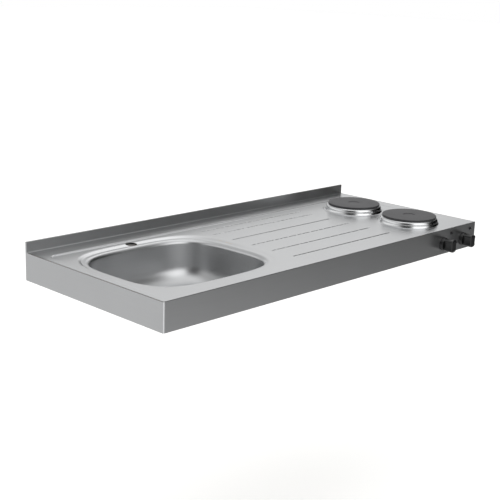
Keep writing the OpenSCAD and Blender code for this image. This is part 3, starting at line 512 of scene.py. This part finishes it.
# The pressed deck, in millimetres. From FALL_Y the pan and the bowl's rim fall towards the back. The pan
# runs out through the front edge, so its own front lies far off. The surround and the bowl follow
# superellipses about a middle.
CORNER_R = 5.0
FALL_Y = -255.0
RIM_DROP = 4.6
FAR_Y = 900.0
PAN = dict(x0=-678.0, x1=652.0, y0=-FAR_Y, y1=225.0, r=30.0, drop=2.6)
PAN_STEP = 1.5         # the border's step starts this far outside the pan
SURROUND = dict(x=-400.0, y=-23.0, a=262.5, b=233.0, power=3.6)
BASIN = dict(x=-418.0, y=-34.0, a=238.0, b=210.0, power=3.5)
LIP = 5.0              # the surround lies flat this far round the bowl
SURROUND_CURVE = 1.4   # the power that makes its slope start gently
SURROUND_SHADE = 4.0   # how much steeper it shades than it is
SEAT_R = RING_R + 5.5  # the raised seats of the hotplates
SEAT_STEP = 5.0
SEAT_SPREAD = 3.0
HOLE_R = PLATE_R - (RING_R - PLATE_R) / 2
TAP_HOLE_R = 17.5
TAP_MARGIN = 3.0
TAP_Y = TAP_BACK - TAP_MARGIN - TAP_HOLE_R
TAP_R = 17.8           # a little wider than the hole in the plate beneath
GROOVE_X = (-125.5, PLATES["front"][0] - SEAT_R - 68)
GROOVE_Y = [-210.0, -126.0, -42.0, 42.0, 126.0, 179.0]


def outside(line, x, y):
    """Distance outside one of the drawn outlines, in millimetres, negative inside."""
    a, b, power = line["a"], line["b"], line["power"]
    u, v = np.abs(x - line["x"]) / a, np.abs(y - line["y"]) / b
    reach = np.maximum((u ** power + v ** power) ** (1 / power), 1e-6)
    slope = np.hypot((u / reach) ** (power - 1) / a, (v / reach) ** (power - 1) / b)
    return (reach - 1) / slope


def deck_height(x, y, surround=1.0):
    """Height of the deck over its plane, in millimetres: border step, bowl surround, seats, grooves.
    The depth of the surround's slope can be scaled."""
    sizes = bpy.context.scene.kitchenette_sizes
    fall = np.maximum(y - FALL_Y, 0)
    pan = fall * PAN["drop"] / (PAN["y1"] - FALL_Y)
    rim = fall * RIM_DROP / (PAN["y1"] - FALL_Y)
    soft = sizes.border_soft / MM
    d_pan = round_box(x, y, PAN["x0"], PAN["x1"], PAN["y0"], PAN["y1"], PAN["r"])
    inside = ease((PAN_STEP - d_pan) / soft)
    outer = -outside(SURROUND, x, y)
    inner = np.maximum(outside(BASIN, x, y) - LIP, 0)
    lowered = ease(np.clip(outer / np.maximum(outer + inner, 0.1), 0, 1) ** SURROUND_CURVE)
    depth = inside * (pan + surround * (rim - pan) * lowered)
    for cx, cy in PLATES.values():
        depth = depth * (1 - ease((SEAT_R + SEAT_SPREAD - np.hypot(x - cx, y - cy)) / SEAT_STEP))
    half, deep = sizes.groove_half / MM, sizes.groove_depth / MM
    for gy in GROOVE_Y:
        d = np.hypot(x - np.clip(x, *GROOVE_X), y - gy) / half
        depth = depth + np.where(d < 1, deep * (0.5 + 0.5 * np.cos(np.pi * np.clip(d, 0, 1))), 0)
    return -depth


def deck_normals(x, y):
    """Normals of the deck. The surround shades as a deeper pressing, as in the photo, while its height
    stays over the plate and the bearers beneath it."""
    e, deep = 0.05, SURROUND_SHADE
    dx, dy = ((deck_height(x + i, y + j, deep) - deck_height(x - i, y - j, deep)) / (2 * e)
              for i, j in ((e, 0), (0, e)))
    n = np.stack([-dx, -dy, np.ones_like(dx)], 1)
    return n / np.linalg.norm(n, axis=1)[:, None]


def even_outline(a, b, power, count):
    """Points evenly spaced round a superellipse of half lengths a and b."""
    t = np.arange(8192) * 2 * np.pi / 8192
    c, s = np.cos(t), np.sin(t)
    bend = 2 / power
    dense = np.stack([a * np.sign(c) * np.abs(c) ** bend, b * np.sign(s) * np.abs(s) ** bend], 1)
    dense = np.vstack([dense, dense[:1]])
    run = np.concatenate([[0], np.cumsum(np.linalg.norm(np.diff(dense, axis=0), axis=1))])
    at = np.arange(count) * run[-1] / count
    return np.stack([np.interp(at, run, dense[:, 0]), np.interp(at, run, dense[:, 1])], 1)


def drawn_line(line, inset, count):
    """Points round one of the drawn outlines, or round a line inset from it."""
    points = even_outline(line["a"] - inset, line["b"] - inset, line["power"], count)
    return points + (line["x"], line["y"])


def on_sheet(x, y, bowl_gap, tap_gap, plate_gap):
    """Whether points clear the bowl, the tap hole and the holes under the hotplates."""
    clear = (outside(BASIN, x, y) > bowl_gap) & (np.hypot(x - TAP_X, y - TAP_Y) > TAP_R + tap_gap)
    for cx, cy in PLATES.values():
        clear &= np.hypot(x - cx, y - cy) > HOLE_R + plate_gap
    return clear


def deck_points(outer, holes):
    """Points for the deck's mesh: an even grid, and rows that follow each pressing."""
    apart, margin, clear, crowded = 13.0, 10.0, 2.5, 0.42
    columns = np.arange(margin - EDGE_X, EDGE_X, apart)
    gx, gy = np.meshgrid(columns, np.arange(FRONT_Y + margin, DECK_BACK, apart))
    rows = [np.stack([gx.ravel(), gy.ravel()], 1)]
    for off in np.arange(-6.5, 4.6, 1.0):
        loop = round_box_loop(PAN["x0"] - off, PAN["x1"] + off, PAN["y0"] - off, PAN["y1"] + off,
                              PAN["r"] + off, 6.0)
        rows.append(loop[loop[:, 1] > FRONT_Y + 3 * margin])
    for off in (-10.0, -6.5, -3.5, -1.5, 0.0, 2.0):
        rows.append(drawn_line(SURROUND, -off, 240))
    for cx, cy in PLATES.values():
        for r in (HOLE_R + 4, SEAT_R - 9, SEAT_R - 4, *np.arange(SEAT_R - 2.5, SEAT_R + 4, 1.4), SEAT_R + 7):
            rows.append(circle(cx, cy, r, 144))
    for off in (1.5, 3.0, 5.0, 6.5, 8.0, 10.0, 13.0, 17.0, 22.0, 28.0):
        rows.append(drawn_line(BASIN, -off, 240))
    for r in (TAP_R + 1.5, TAP_R + 4):
        rows.append(circle(TAP_X, TAP_Y, r, 56))
    across = np.array([-6, -4.4, -3.7, -3, -2.3, -1.5, -0.7, 0.7, 1.5, 2.3, 3, 3.7, 4.4, 6])
    for gy in GROOVE_Y:
        ax, ay = np.meshgrid(np.linspace(*GROOVE_X, 59), across + gy)
        rows.append(np.stack([ax.ravel(), ay.ravel()], 1))
        for end, turn in zip(GROOVE_X, (180, 0)):
            a = np.radians(turn + np.linspace(-78, 78, 11))
            for r in across[across > 0]:
                rows.append(np.stack([end + r * np.cos(a), gy + r * np.sin(a)], 1))
    free = np.vstack(rows)
    x, y = free[:, 0], free[:, 1]
    keep = (np.abs(x) < EDGE_X - clear) & (y > FRONT_Y + clear) & (y < DECK_BACK - 1.5)
    keep &= round_box(x, y, 1 - EDGE_X, EDGE_X - 1, FRONT_Y + 1, FAR_Y, CORNER_R - 1) < -1
    free = free[keep & on_sheet(x, y, 0.8, 0.8, 1.0)]
    fixed = np.vstack([outer, *holes])
    # The finer rows were added last. They are taken first, and win over the grid where points crowd.
    order = np.vstack([fixed, free[::-1]])
    cells, chosen = {}, []
    for i, (px, py) in enumerate(order):
        column, row = math.floor(px), math.floor(py)
        near = [j for dx in (-1, 0, 1) for dy in (-1, 0, 1) for j in cells.get((column + dx, row + dy), ())]
        if i < len(fixed) or all((order[j][0] - px) ** 2 + (order[j][1] - py) ** 2 >= crowded for j in near):
            cells.setdefault((column, row), []).append(i)
            chosen.append(i)
    return order[chosen]


def strip(first, second, closed=False):
    """Faces between two rows of equally many points, given by their starting numbers."""
    count = len(first)
    last = count if closed else count - 1
    return [(first[i], first[(i + 1) % count], second[(i + 1) % count], second[i]) for i in range(last)]


def deck_edge(fold):
    """The line of the folded edge, from the left rear corner round the front to the right one, and the
    rear line between them."""
    middle_x, middle_y, r = CORNER_R - EDGE_X, FRONT_Y + CORNER_R, CORNER_R - fold
    corner = [math.radians(a) for a in np.linspace(180, 270, 9)]
    left = [(fold - EDGE_X, y) for y in np.linspace(DECK_BACK, middle_y + CORNER_R, 45)]
    left += [(middle_x + r * math.cos(a), middle_y + r * math.sin(a)) for a in corner]
    front = [(x, FRONT_Y + fold) for x in np.linspace(middle_x + CORNER_R, -middle_x - CORNER_R, 107)]
    rear = [(x, DECK_BACK) for x in np.linspace(EDGE_X - fold, fold - EDGE_X, 109)[1:-1]]
    return left + front + [(-x, y) for x, y in left[::-1]], rear


def deck_triangles(outer, holes):
    """The plan of the sheet, cut into triangles that all face up."""
    edges, start = [], 0
    for loop in (outer, *holes):
        n = len(loop)
        edges += [(start + i, start + (i + 1) % n) for i in range(n)]
        start += n
    flat = deck_points(outer, holes)
    verts, _, tris, _, _, _ = delaunay_2d_cdt([Vector(p) for p in flat], edges, [], 0, 1e-5)
    xy = np.array([tuple(v) for v in verts])
    tris = np.array([t for t in tris if len(t) == 3])
    mid = xy[tris].mean(axis=1)
    tris = tris[on_sheet(mid[:, 0], mid[:, 1], 0.02, 0, 0)]
    area = np.cross(xy[tris[:, 1]] - xy[tris[:, 0]], xy[tris[:, 2]] - xy[tris[:, 0]])
    tris = np.where((area < 0)[:, None], tris[:, ::-1], tris)
    return xy, tris[np.abs(area) > 1e-6]


def build_deck():
    """The deck with its folded edges, its pressings and its cut-outs."""
    sizes = bpy.context.scene.kitchenette_sizes
    fold = sizes.fold_radius / MM
    edge, rear = deck_edge(fold)
    holes = [drawn_line(BASIN, 0, sizes.round_steps), circle(TAP_X, TAP_Y, TAP_R, 64)]
    holes += [circle(cx, cy, HOLE_R, 96) for cx, cy in PLATES.values()]
    xy, tris = deck_triangles(np.array(edge + rear), holes)
    top = np.column_stack([xy, DECK_Z + deck_height(xy[:, 0], xy[:, 1])])
    up = deck_normals(xy[:, 0], xy[:, 1])
    n = len(top)
    points = [top, top - (0, 0, SHEET)]
    normals = [up, -up]
    faces = [tuple(t) for t in tris] + [tuple(n + t[::-1]) for t in tris]
    count = 2 * n
    # The folded edge, from the deck's plane round to the apron
    run = np.array(edge)
    away = np.gradient(run, axis=0)
    away = np.stack([away[:, 1], -away[:, 0]], 1)
    away = -away / np.linalg.norm(away, axis=1)[:, None]
    height = DECK_Z + deck_height(run[:, 0], run[:, 1])
    rows = []
    for a in np.linspace(0, math.pi / 2, 6):
        out = run + away * fold * math.sin(a)
        points.append(np.column_stack([out, height - fold * (1 - math.cos(a))]))
        normals.append(np.column_stack([away * math.sin(a), np.full(len(run), math.cos(a))]))
        rows.append(np.arange(len(run)) + count)
        count += len(run)
    for one, two in zip(rows, rows[1:]):
        faces += [f[::-1] for f in strip(one, two)]
    # The sheet's thickness round the cut-outs and along the rear edge
    rear_line = np.array([edge[-1]] + rear + [edge[0]])
    for loop, closed in (*((hole, True) for hole in holes), (rear_line, False)):
        height = DECK_Z + deck_height(loop[:, 0], loop[:, 1])
        way = np.roll(loop, -1, 0) - np.roll(loop, 1, 0) if closed else np.tile([1.0, 0.0], (len(loop), 1))
        wall = np.column_stack([-way[:, 1], way[:, 0], np.zeros(len(loop))])
        wall /= np.linalg.norm(wall, axis=1)[:, None]
        points += [np.column_stack([loop, height]), np.column_stack([loop, height - SHEET])]
        normals += [wall, wall]
        one = np.arange(len(loop)) + count
        faces += strip(one, one + len(loop), closed)
        count += 2 * len(loop)
    points, normals = np.vstack(points), np.vstack(normals)
    deck = piece("pressed_deck", points, faces, "along", "worktop", normals)
    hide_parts("deck_sheet")


# The drawn bowl, in millimetres. Its floor falls to a stepped seat for the waste.
BOWL_FALL = 3.0
SEAT_DROP = 3.5
WASTE_SEAT_R = 60.0
WASTE_HOLE_R = 45.0
BOWL_DEEP = DECK_Z - BOWL_LOW - SEAT_DROP - SHEET
BOWL_FLOOR = BOWL_DEEP - BOWL_FALL


def bowl_section():
    """Inset from the bowl's line and depth of each ring of the inside, down to the edge of the floor."""
    draft, foot, last, land = 4.0, 60.0, 88.0, 1.0
    roll = bpy.context.scene.kitchenette_sizes.roll_radius / MM
    rows = [(0.0, 0.0)]
    for a in np.linspace(0, 90 - draft, 17):
        a = math.radians(a)
        rows.append((land + roll * math.sin(a), roll * (1 - math.cos(a))))
    mid = BOWL_FLOOR - foot * math.sin(math.radians(last))
    end = mid + foot * math.sin(math.radians(draft))
    d0, h0 = rows[-1]
    d1 = d0 + (end - h0) * math.tan(math.radians(draft))
    for t in np.linspace(0, 1, 8)[1:-1]:
        rows.append((d0 + (d1 - d0) * t, h0 + (end - h0) * t))
    centre = d1 + foot * math.cos(math.radians(draft))
    for a in np.linspace(draft, last, 20):
        a = math.radians(a)
        rows.append((centre - foot * math.cos(a), mid + foot * math.sin(a)))
    return rows


def build_bowl():
    """The bowl: rolled rim, drafted walls, round foot and a floor that falls to the waste."""
    steps = bpy.context.scene.kitchenette_sizes.round_steps
    tilt = RIM_DROP / (PAN["y1"] - FALL_Y)
    rings = [(drawn_line(BASIN, inset, steps), depth) for inset, depth in bowl_section()]
    inset = bowl_section()[-1][0]
    a, b, power = BASIN["a"] - inset, BASIN["b"] - inset, BASIN["power"]
    for s in np.linspace(0, 1, 9)[1:]:
        half_x, half_y = a + (WASTE_SEAT_R - a) * s, b + (WASTE_SEAT_R - b) * s
        outline = even_outline(half_x, half_y, power + (2 - power) * s, steps)
        centre = np.array([BASIN["x"], BASIN["y"]]) * (1 - s) + np.array([BOWL_X, BOWL_Y]) * s
        rings.append((outline + centre, BOWL_FLOOR + BOWL_FALL * s))
    for s in np.linspace(0, 1, 6)[1:]:
        seat = WASTE_SEAT_R - SEAT_DROP / 2 * s
        rings.append((circle(BOWL_X, BOWL_Y, seat, steps), BOWL_DEEP + SEAT_DROP * float(ease(s))))
    rings.append((circle(BOWL_X, BOWL_Y, WASTE_HOLE_R, steps), BOWL_DEEP + SEAT_DROP))
    rows = []
    for outline, depth in rings:
        fall = max(0.0, 1 - depth / BOWL_FLOOR) * (outline[:, 1] - FALL_Y) * tilt
        rows.append(np.column_stack([outline, DECK_Z - depth - fall]))
    inside = np.array(rows)
    along = np.gradient(inside, axis=0)
    around = np.roll(inside, -1, 1) - np.roll(inside, 1, 1)
    normal = np.cross(around, along)
    normal /= np.linalg.norm(normal, axis=2)[:, :, None]
    if normal[0, 0, 2] < 0:
        normal = -normal
    normal[0] = deck_normals(inside[0, :, 0], inside[0, :, 1])
    normal[1] = normal[0]
    normal[-1] = (0, 0, 1)
    under = inside - normal * SHEET
    under[0] = inside[0] - (0, 0, SHEET)
    under[-1] = inside[-1] - (0, 0, SHEET)
    count = inside.shape[0]
    points = np.vstack([inside.reshape(-1, 3), under.reshape(-1, 3)])
    normals = np.vstack([normal.reshape(-1, 3), -normal.reshape(-1, 3)])
    faces = []
    for i in range(count - 1):
        one = np.arange(steps) + i * steps
        faces += strip(one, one + steps, True)
        low = one + count * steps
        faces += [f[::-1] for f in strip(low, low + steps, True)]
    lip = np.arange(steps) + (count - 1) * steps
    faces += strip(lip, lip + count * steps, True)
    bowl = piece("drawn_bowl", points, faces, "bowl", "worktop", normals)
    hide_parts("sink_bowl")


# Hotplates
def build_hotplate(side):
    """A turned casting in its spun spill ring. The profiles are radius and height over the deck in
    millimetres."""
    steps = bpy.context.scene.kitchenette_sizes.round_steps
    place = (*PLATES[side], DECK_Z)
    casting = [(0, 16), (72, 16), (72, 6), (80, 6), (80, 18), (PLATE_R, 18), (PLATE_R, 25), (20, 25),
               (18.4, 23.4), (0, 23.4)]
    radii = [0, 1.5, 1, 1, 1.5, 1.2, 1.6, 1.2, 1.0, 0]
    made = turned(side + "_casting", soften(casting, radii), place, "iron", "worktop", steps)
    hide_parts(side + "_hotplate")
    lip, flare, foot, thick, reach = 7.0, 3.5, 6.0, 0.8, 82.4
    neck = RING_R - flare
    turn = [math.radians(a) for a in np.linspace(0, 90, 25)]
    outer = [(neck - lip * (1 - math.cos(a)), foot + (RING_TOP - foot) * math.sin(a)) for a in turn]
    inner = [(neck - thick - lip * (1 - math.cos(a)), foot + (RING_TOP - thick - foot) * math.sin(a))
             for a in turn[::-1]]
    ring = [(RING_R, 0.0), *outer, (reach, RING_TOP), (reach, RING_TOP - thick), *inner,
            (RING_R - thick, 0.0)]
    made = turned(side + "_ring", ring, place, "bright", "worktop", steps)
    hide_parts(side + "_spill_ring")


# Controls, in millimetres out from the apron's face
def grip_radius(t, inset):
    """Radius of the grip's outline at an angle: a round end cut by two hollow sides, with the corners
    between them blended by a high power."""
    round_r = 21.25 - inset
    c = abs(math.cos(t)) + 1e-9
    far, hollow, uncut, blend = 73.0, 60.0 + inset, 99.0, 16
    disc = (far * c) ** 2 - far * far + hollow * hollow
    side = (far * c - math.sqrt(disc)) if disc > 0 else uncut
    return (round_r ** -blend + side ** -blend) ** (-1 / blend)


def build_knob(side):
    """A knob: a round skirt and a waisted grip with soft edges."""
    place = (KNOBS[side][0], FRONT_Y, KNOBS[side][2])
    skirt = [(3.05, 3.3), (7, 3.3), (7, 7.3), (19.5, 7.3), (19.5, 0.8), (22, 0.8), (22, 3.8), (20.5, 9.8),
             (3.05, 9.8)]
    points, faces = lathe(soften(skirt, [0, 0.3, 0, 1, 0.4, 0.7, 0.8, 1.2, 0], 4), 128)
    steps, shoulder, soft = 144, 37.8, 4.0
    t = np.arange(steps) * 2 * np.pi / steps
    rows = [(1.2, 9.0), (1.0, 12.0), (0.5, 16.0), (0.0, 24.0), (0.0, 34.0)]
    for a in np.linspace(0, 90, 9):
        a = math.radians(a)
        rows.append((soft * (1 - math.cos(a)), shoulder + soft * math.sin(a)))
    rings = []
    for inset, height in rows:
        r = np.array([grip_radius(a, inset) for a in t])
        rings.append(np.column_stack([r * np.cos(t), r * np.sin(t), np.full(steps, height)]))
    for share in (0.7, 0.35):
        rings.append(np.column_stack([rings[-1][:, :2] * share, np.full(steps, shoulder + soft)]))
    base = len(points)
    grip = []
    for i in range(len(rings) - 1):
        one = base + np.arange(steps) + i * steps
        grip += strip(one, one + steps, True)
    grip.append(tuple(base + (len(rings) - 1) * steps + np.arange(steps)))
    grip.append(tuple(base + np.arange(steps)[::-1]))
    whole = np.vstack([points, *rings]) @ OUTWARD.T + np.array(place)
    made = piece(side + "_knob_moulding", whole, faces + grip, "phenolic", side + "_control")
    weld(made, 38)
    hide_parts(side + "_knob")


def build_lamp(side):
    """A pilot lamp: a domed lens in its bezel."""
    place = (LAMPS[side][0], FRONT_Y, LAMPS[side][2])
    dome = [(0, 1.2), (4.4, 1.2), (4.4, 2.1), (4.1, 2.9), (3.2, 3.5), (1.8, 3.75), (0, 3.8)]
    made = turned(side + "_lens_moulding", soften(dome, 0.2, 3), place, "lens", "worktop", 64,
                  50, OUTWARD)
    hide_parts(side + "_lamp_lens")


# Operators
class PressedTop(bpy.types.Operator):
    """Builds the pressed deck and the drawn bowl"""

    bl_idname = "kitchenette.pressed_top"
    bl_label = "Pressed deck and bowl"

    def execute(self, context):
        build_deck()
        build_bowl()
        return {"FINISHED"}


class FoldedEdges(bpy.types.Operator):
    """Finishes the aprons and the upstand"""

    bl_idname = "kitchenette.folded_edges"
    bl_label = "Aprons and upstand"

    def execute(self, context):
        dress("along", "front_apron", "rear_upstand")
        dress("across", "left_end_apron", "right_end_apron")
        return {"FINISHED"}


class Hotplates(bpy.types.Operator):
    """Builds the hotplates and finishes what holds them"""

    bl_idname = "kitchenette.hotplates"
    bl_label = "Hotplates"

    def execute(self, context):
        for side in PLATES:
            build_hotplate(side)
            dress("steatite", side + "_element", side + "_plate_terminal")
            for part in ("_base_cover", "_clamp_stud", "_clamp_bridge", "_clamp_nut"):
                dress("zinc", side + part)
        return {"FINISHED"}


class Controls(bpy.types.Operator):
    """Builds the knobs and pilot lamps and finishes the switches"""

    bl_idname = "kitchenette.controls"
    bl_label = "Knobs and lamps"

    def execute(self, context):
        for side in KNOBS:
            build_knob(side)
            build_lamp(side)
            dress("zinc", side + "_spindle")
            dress("nylon", side + "_switch", side + "_lamp_body")
            dress("brown", side + "_lamp_lead")
        dress("zinc", "switch_screws")
        return {"FINISHED"}


class WasteFitting(bpy.types.Operator):
    """Finishes the basket strainer waste"""

    bl_idname = "kitchenette.waste_fitting"
    bl_label = "Waste fitting"

    def execute(self, context):
        dress("bright", "waste_cup", "strainer_basket", "basket_knob")
        dress("rubber", "waste_top_seal", "waste_under_seal", "basket_stopper")
        dress("white", "waste_locknut")
        return {"FINISHED"}


class Underside(bpy.types.Operator):
    """Finishes the bearers, the hob tray and the wiring"""

    bl_idname = "kitchenette.underside"
    bl_label = "Underside"

    def execute(self, context):
        dress("pine", "left_bearer", "bowl_bearer", "middle_bearer", "hob_bearer", "right_bearer")
        # The tap plate is dressed black so that the unlit tap hole over it reads dark: painted shade
        dress("zinc darkened for shade", "tap_plate")
        dress("zinc", "hob_tray", "tray_screws")
        dress("steatite", "mains_terminal")
        dress("brass", "earth_stud")
        dress("nylon", "cable_gland", "gland_locknut")
        dress("brown", "front_loom", "rear_loom")
        dress("black", "mains_loom", "switch_link")
        return {"FINISHED"}


class Stage(bpy.types.Operator):
    """Builds the floor, the lights and the camera"""

    bl_idname = "kitchenette.stage"
    bl_label = "Floor, lights and camera"

    def execute(self, context):
        build_floor()
        build_world()
        build_lights()
        build_camera()
        return {"FINISHED"}


# Stage, in metres
FLOOR_Z = -0.79
FLOOR_FAR = 40.0


def build_floor():
    """A pale floor that keeps the object's shadow."""
    mesh = bpy.data.meshes.new("floor")
    corners = [(x * FLOOR_FAR, y * FLOOR_FAR, FLOOR_Z) for x, y in ((-1, -1), (1, -1), (1, 1), (-1, 1))]
    mesh.from_pydata(corners, [], [(0, 1, 2, 3)])
    floor = bpy.data.objects.new("floor", mesh)
    bpy.context.scene.collection.objects.link(floor)
    material, tree, where = new_material("Painted floor")
    broad = add(tree, "Mapping", {"Vector": where, "Scale": per_mm(900)}, "Vector")
    cloud = add(tree, "TexNoise", {"Vector": broad, "Scale": 1, "Detail": 2}, "Fac")
    low, high = shades(linear(FLOOR), 0.99, 1)
    base = add(tree, "Mix", {"Factor": cloud, "A": low, "B": high}, "Result", data_type="RGBA")
    paint = add(tree, "BsdfPrincipled", {"Roughness": 0.9, "Base Color": base}, "BSDF")
    # The camera sees the floor lifted to the backdrop's white, and its shadow is kept
    glow = add(tree, "Emission", {"Strength": 0.42}, "Emission")
    dark = add(tree, "Emission", {"Strength": 0}, "Emission")
    seen = add(tree, "LightPath", output="Is Camera Ray")
    lift = add(tree, "MixShader", {0: seen, 1: dark, 2: glow}, "Shader")
    both = add(tree, "AddShader", {0: paint, 1: lift}, "Shader")
    add(tree, "OutputMaterial", {"Surface": both})
    mesh.materials.append(material)
    floor.visible_glossy = False


# Soft cards of the studio and dark gaps between them: the middle azimuth from +X towards +Y, half the
# width, the lowest and the highest elevation, all in degrees, and the light that each adds
CARDS = (
    (0, 360, 60, 90, 0.4),       # the ceiling
    (33, 16, 25, 67, 0.85),      # a tall soft box at the far right
    (60, 16, -11, 9, 0.75),      # a low soft box behind the worktop
    (134, 31, -2, 32, 0.35),     # a wide soft box at the left
    (265, 33, 15, 56, 0.95),     # a wide soft box at the front
    (340, 44, -19, 46, -0.72),   # the dark side of the studio
    (209, 27, 6, 52, -0.68),     # the gap round the camera
    (109, 61, 21, 49, -0.15),    # the dim wall over the left soft box
    (226, 22, -38, -4, 0.75),    # a low white board before the camera
)
# Half the width of a card's soft edge, in degrees, and the light of the room round the cards
CARD_SOFT = 11
ROOM_LEVEL = 0.72


def build_world():
    """A studio of soft cards in a dim room, with a white backdrop that only the camera sees."""
    world = bpy.data.worlds.new("Studio")
    bpy.context.scene.world = world
    world.use_nodes = True
    tree = world.node_tree
    tree.nodes.clear()
    way = add(tree, "TexCoord", output="Generated")
    parts = add(tree, "SeparateXYZ", {"Vector": way})
    height = add(tree, "Math", {0: parts.outputs["Z"]}, 0, operation="ARCSINE")
    turn = add(tree, "Math", {0: parts.outputs["Y"], 1: parts.outputs["X"]}, 0, operation="ARCTAN2")
    soft = math.radians(CARD_SOFT)
    total = ROOM_LEVEL
    for middle, half, low, high, level in CARDS:
        off = add(tree, "Math", {0: turn, 1: math.radians(middle)}, 0, operation="SUBTRACT")
        off = add(tree, "Math", {0: off, 1: math.pi, 2: -math.pi}, 0, operation="WRAP")
        off = add(tree, "Math", {0: off}, 0, operation="ABSOLUTE")
        rise = add(tree, "Math", {0: height, 1: math.radians((low + high) / 2)}, 0, operation="SUBTRACT")
        rise = add(tree, "Math", {0: rise}, 0, operation="ABSOLUTE")
        share = level
        for away, reach in ((off, math.radians(half)), (rise, math.radians((high - low) / 2))):
            window = add(tree, "MapRange",
                         {"Value": away, "From Min": reach + soft, "From Max": reach - soft},
                         "Result", interpolation_type="SMOOTHSTEP")
            share = add(tree, "Math", {0: window, 1: share}, 0, operation="MULTIPLY")
        total = add(tree, "Math", {0: share, 1: total}, 0, operation="ADD")
    level = add(tree, "Math", {0: total, 1: 0}, 0, operation="MAXIMUM")
    seen = add(tree, "LightPath", output="Is Camera Ray")
    strength = add(tree, "Mix", {"Factor": seen, "A": level, "B": 1.0}, "Result", data_type="FLOAT")
    light = add(tree, "Background", {"Color": (1, 1, 1, 1), "Strength": strength}, "Background")
    add(tree, "OutputWorld", {"Surface": light})


def build_lights():
    """One large soft lamp overhead, which the polished metal doesn't mirror."""
    lamp = bpy.data.lights.new("overhead", "AREA")
    lamp.shape = "SQUARE"
    lamp.size = 2.4
    lamp.energy = 12
    thing = bpy.data.objects.new("overhead", lamp)
    bpy.context.scene.collection.objects.link(thing)
    thing.location = (-0.6, 0.4, 2.6)
    thing.visible_glossy = False


CAMERA_AT = Vector((-2.2768, -2.1121, 0.8562))
FOCAL_PIXELS = 1023.2
IMAGE_PIXELS = 500


def build_camera():
    """The photograph's view, solved from the edges of the top."""
    azimuth, elevation, roll = (math.radians(a) for a in (46.013, 14.86, 1.927))
    level = math.cos(elevation)
    ahead = Vector((math.sin(azimuth) * level, math.cos(azimuth) * level, -math.sin(elevation)))
    right = Vector((math.cos(azimuth), -math.sin(azimuth), 0))
    up = right.cross(ahead)
    across = right * math.cos(roll) + up * math.sin(roll)
    upward = -right * math.sin(roll) + up * math.cos(roll)
    data = bpy.data.cameras.new("camera")
    data.sensor_width = 36
    data.lens = data.sensor_width * FOCAL_PIXELS / IMAGE_PIXELS
    data.shift_x = -0.001
    data.shift_y = 0.001
    camera = bpy.data.objects.new("camera", data)
    bpy.context.scene.collection.objects.link(camera)
    turn = Matrix((across, upward, -ahead)).transposed()
    camera.matrix_world = Matrix.Translation(CAMERA_AT) @ turn.to_4x4()
    bpy.context.scene.camera = camera
    bpy.context.scene.view_settings.view_transform = "Standard"


class KitchenettePanel(bpy.types.Panel):
    """Shows the sizes, the colours and the steps of the kitchenette top"""

    bl_idname = "VIEW3D_PT_kitchenette"
    bl_label = "Kitchenette"
    bl_space_type = "VIEW_3D"
    bl_region_type = "UI"
    bl_category = "Kitchenette"

    def draw(self, context):
        column = self.layout.column()
        for group in (context.scene.kitchenette_sizes, context.scene.kitchenette_colours):
            for name in group.__annotations__:
                column.prop(group, name)
        for step in STEPS:
            column.operator(step.bl_idname)


STEPS = (PressedTop, FoldedEdges, Hotplates, Controls, WasteFitting, Underside, Stage)
CLASSES = (KitchenetteSizes, KitchenetteColours, *STEPS, KitchenettePanel)


def register():
    """Adds the classes, and the sizes and colours to the scene."""
    for kind in CLASSES:
        bpy.utils.register_class(kind)
    bpy.types.Scene.kitchenette_sizes = PointerProperty(type=KitchenetteSizes)
    bpy.types.Scene.kitchenette_colours = PointerProperty(type=KitchenetteColours)


def unregister():
    """Takes them away again."""
    del bpy.types.Scene.kitchenette_colours
    del bpy.types.Scene.kitchenette_sizes
    for kind in reversed(CLASSES):
        bpy.utils.unregister_class(kind)


def main():
    """Builds the whole scene."""
    register()
    bpy.ops.kitchenette.pressed_top()
    bpy.ops.kitchenette.folded_edges()
    bpy.ops.kitchenette.hotplates()
    bpy.ops.kitchenette.controls()
    bpy.ops.kitchenette.waste_fitting()
    bpy.ops.kitchenette.underside()
    bpy.ops.kitchenette.stage()


if __name__ == "__main__":
    main()
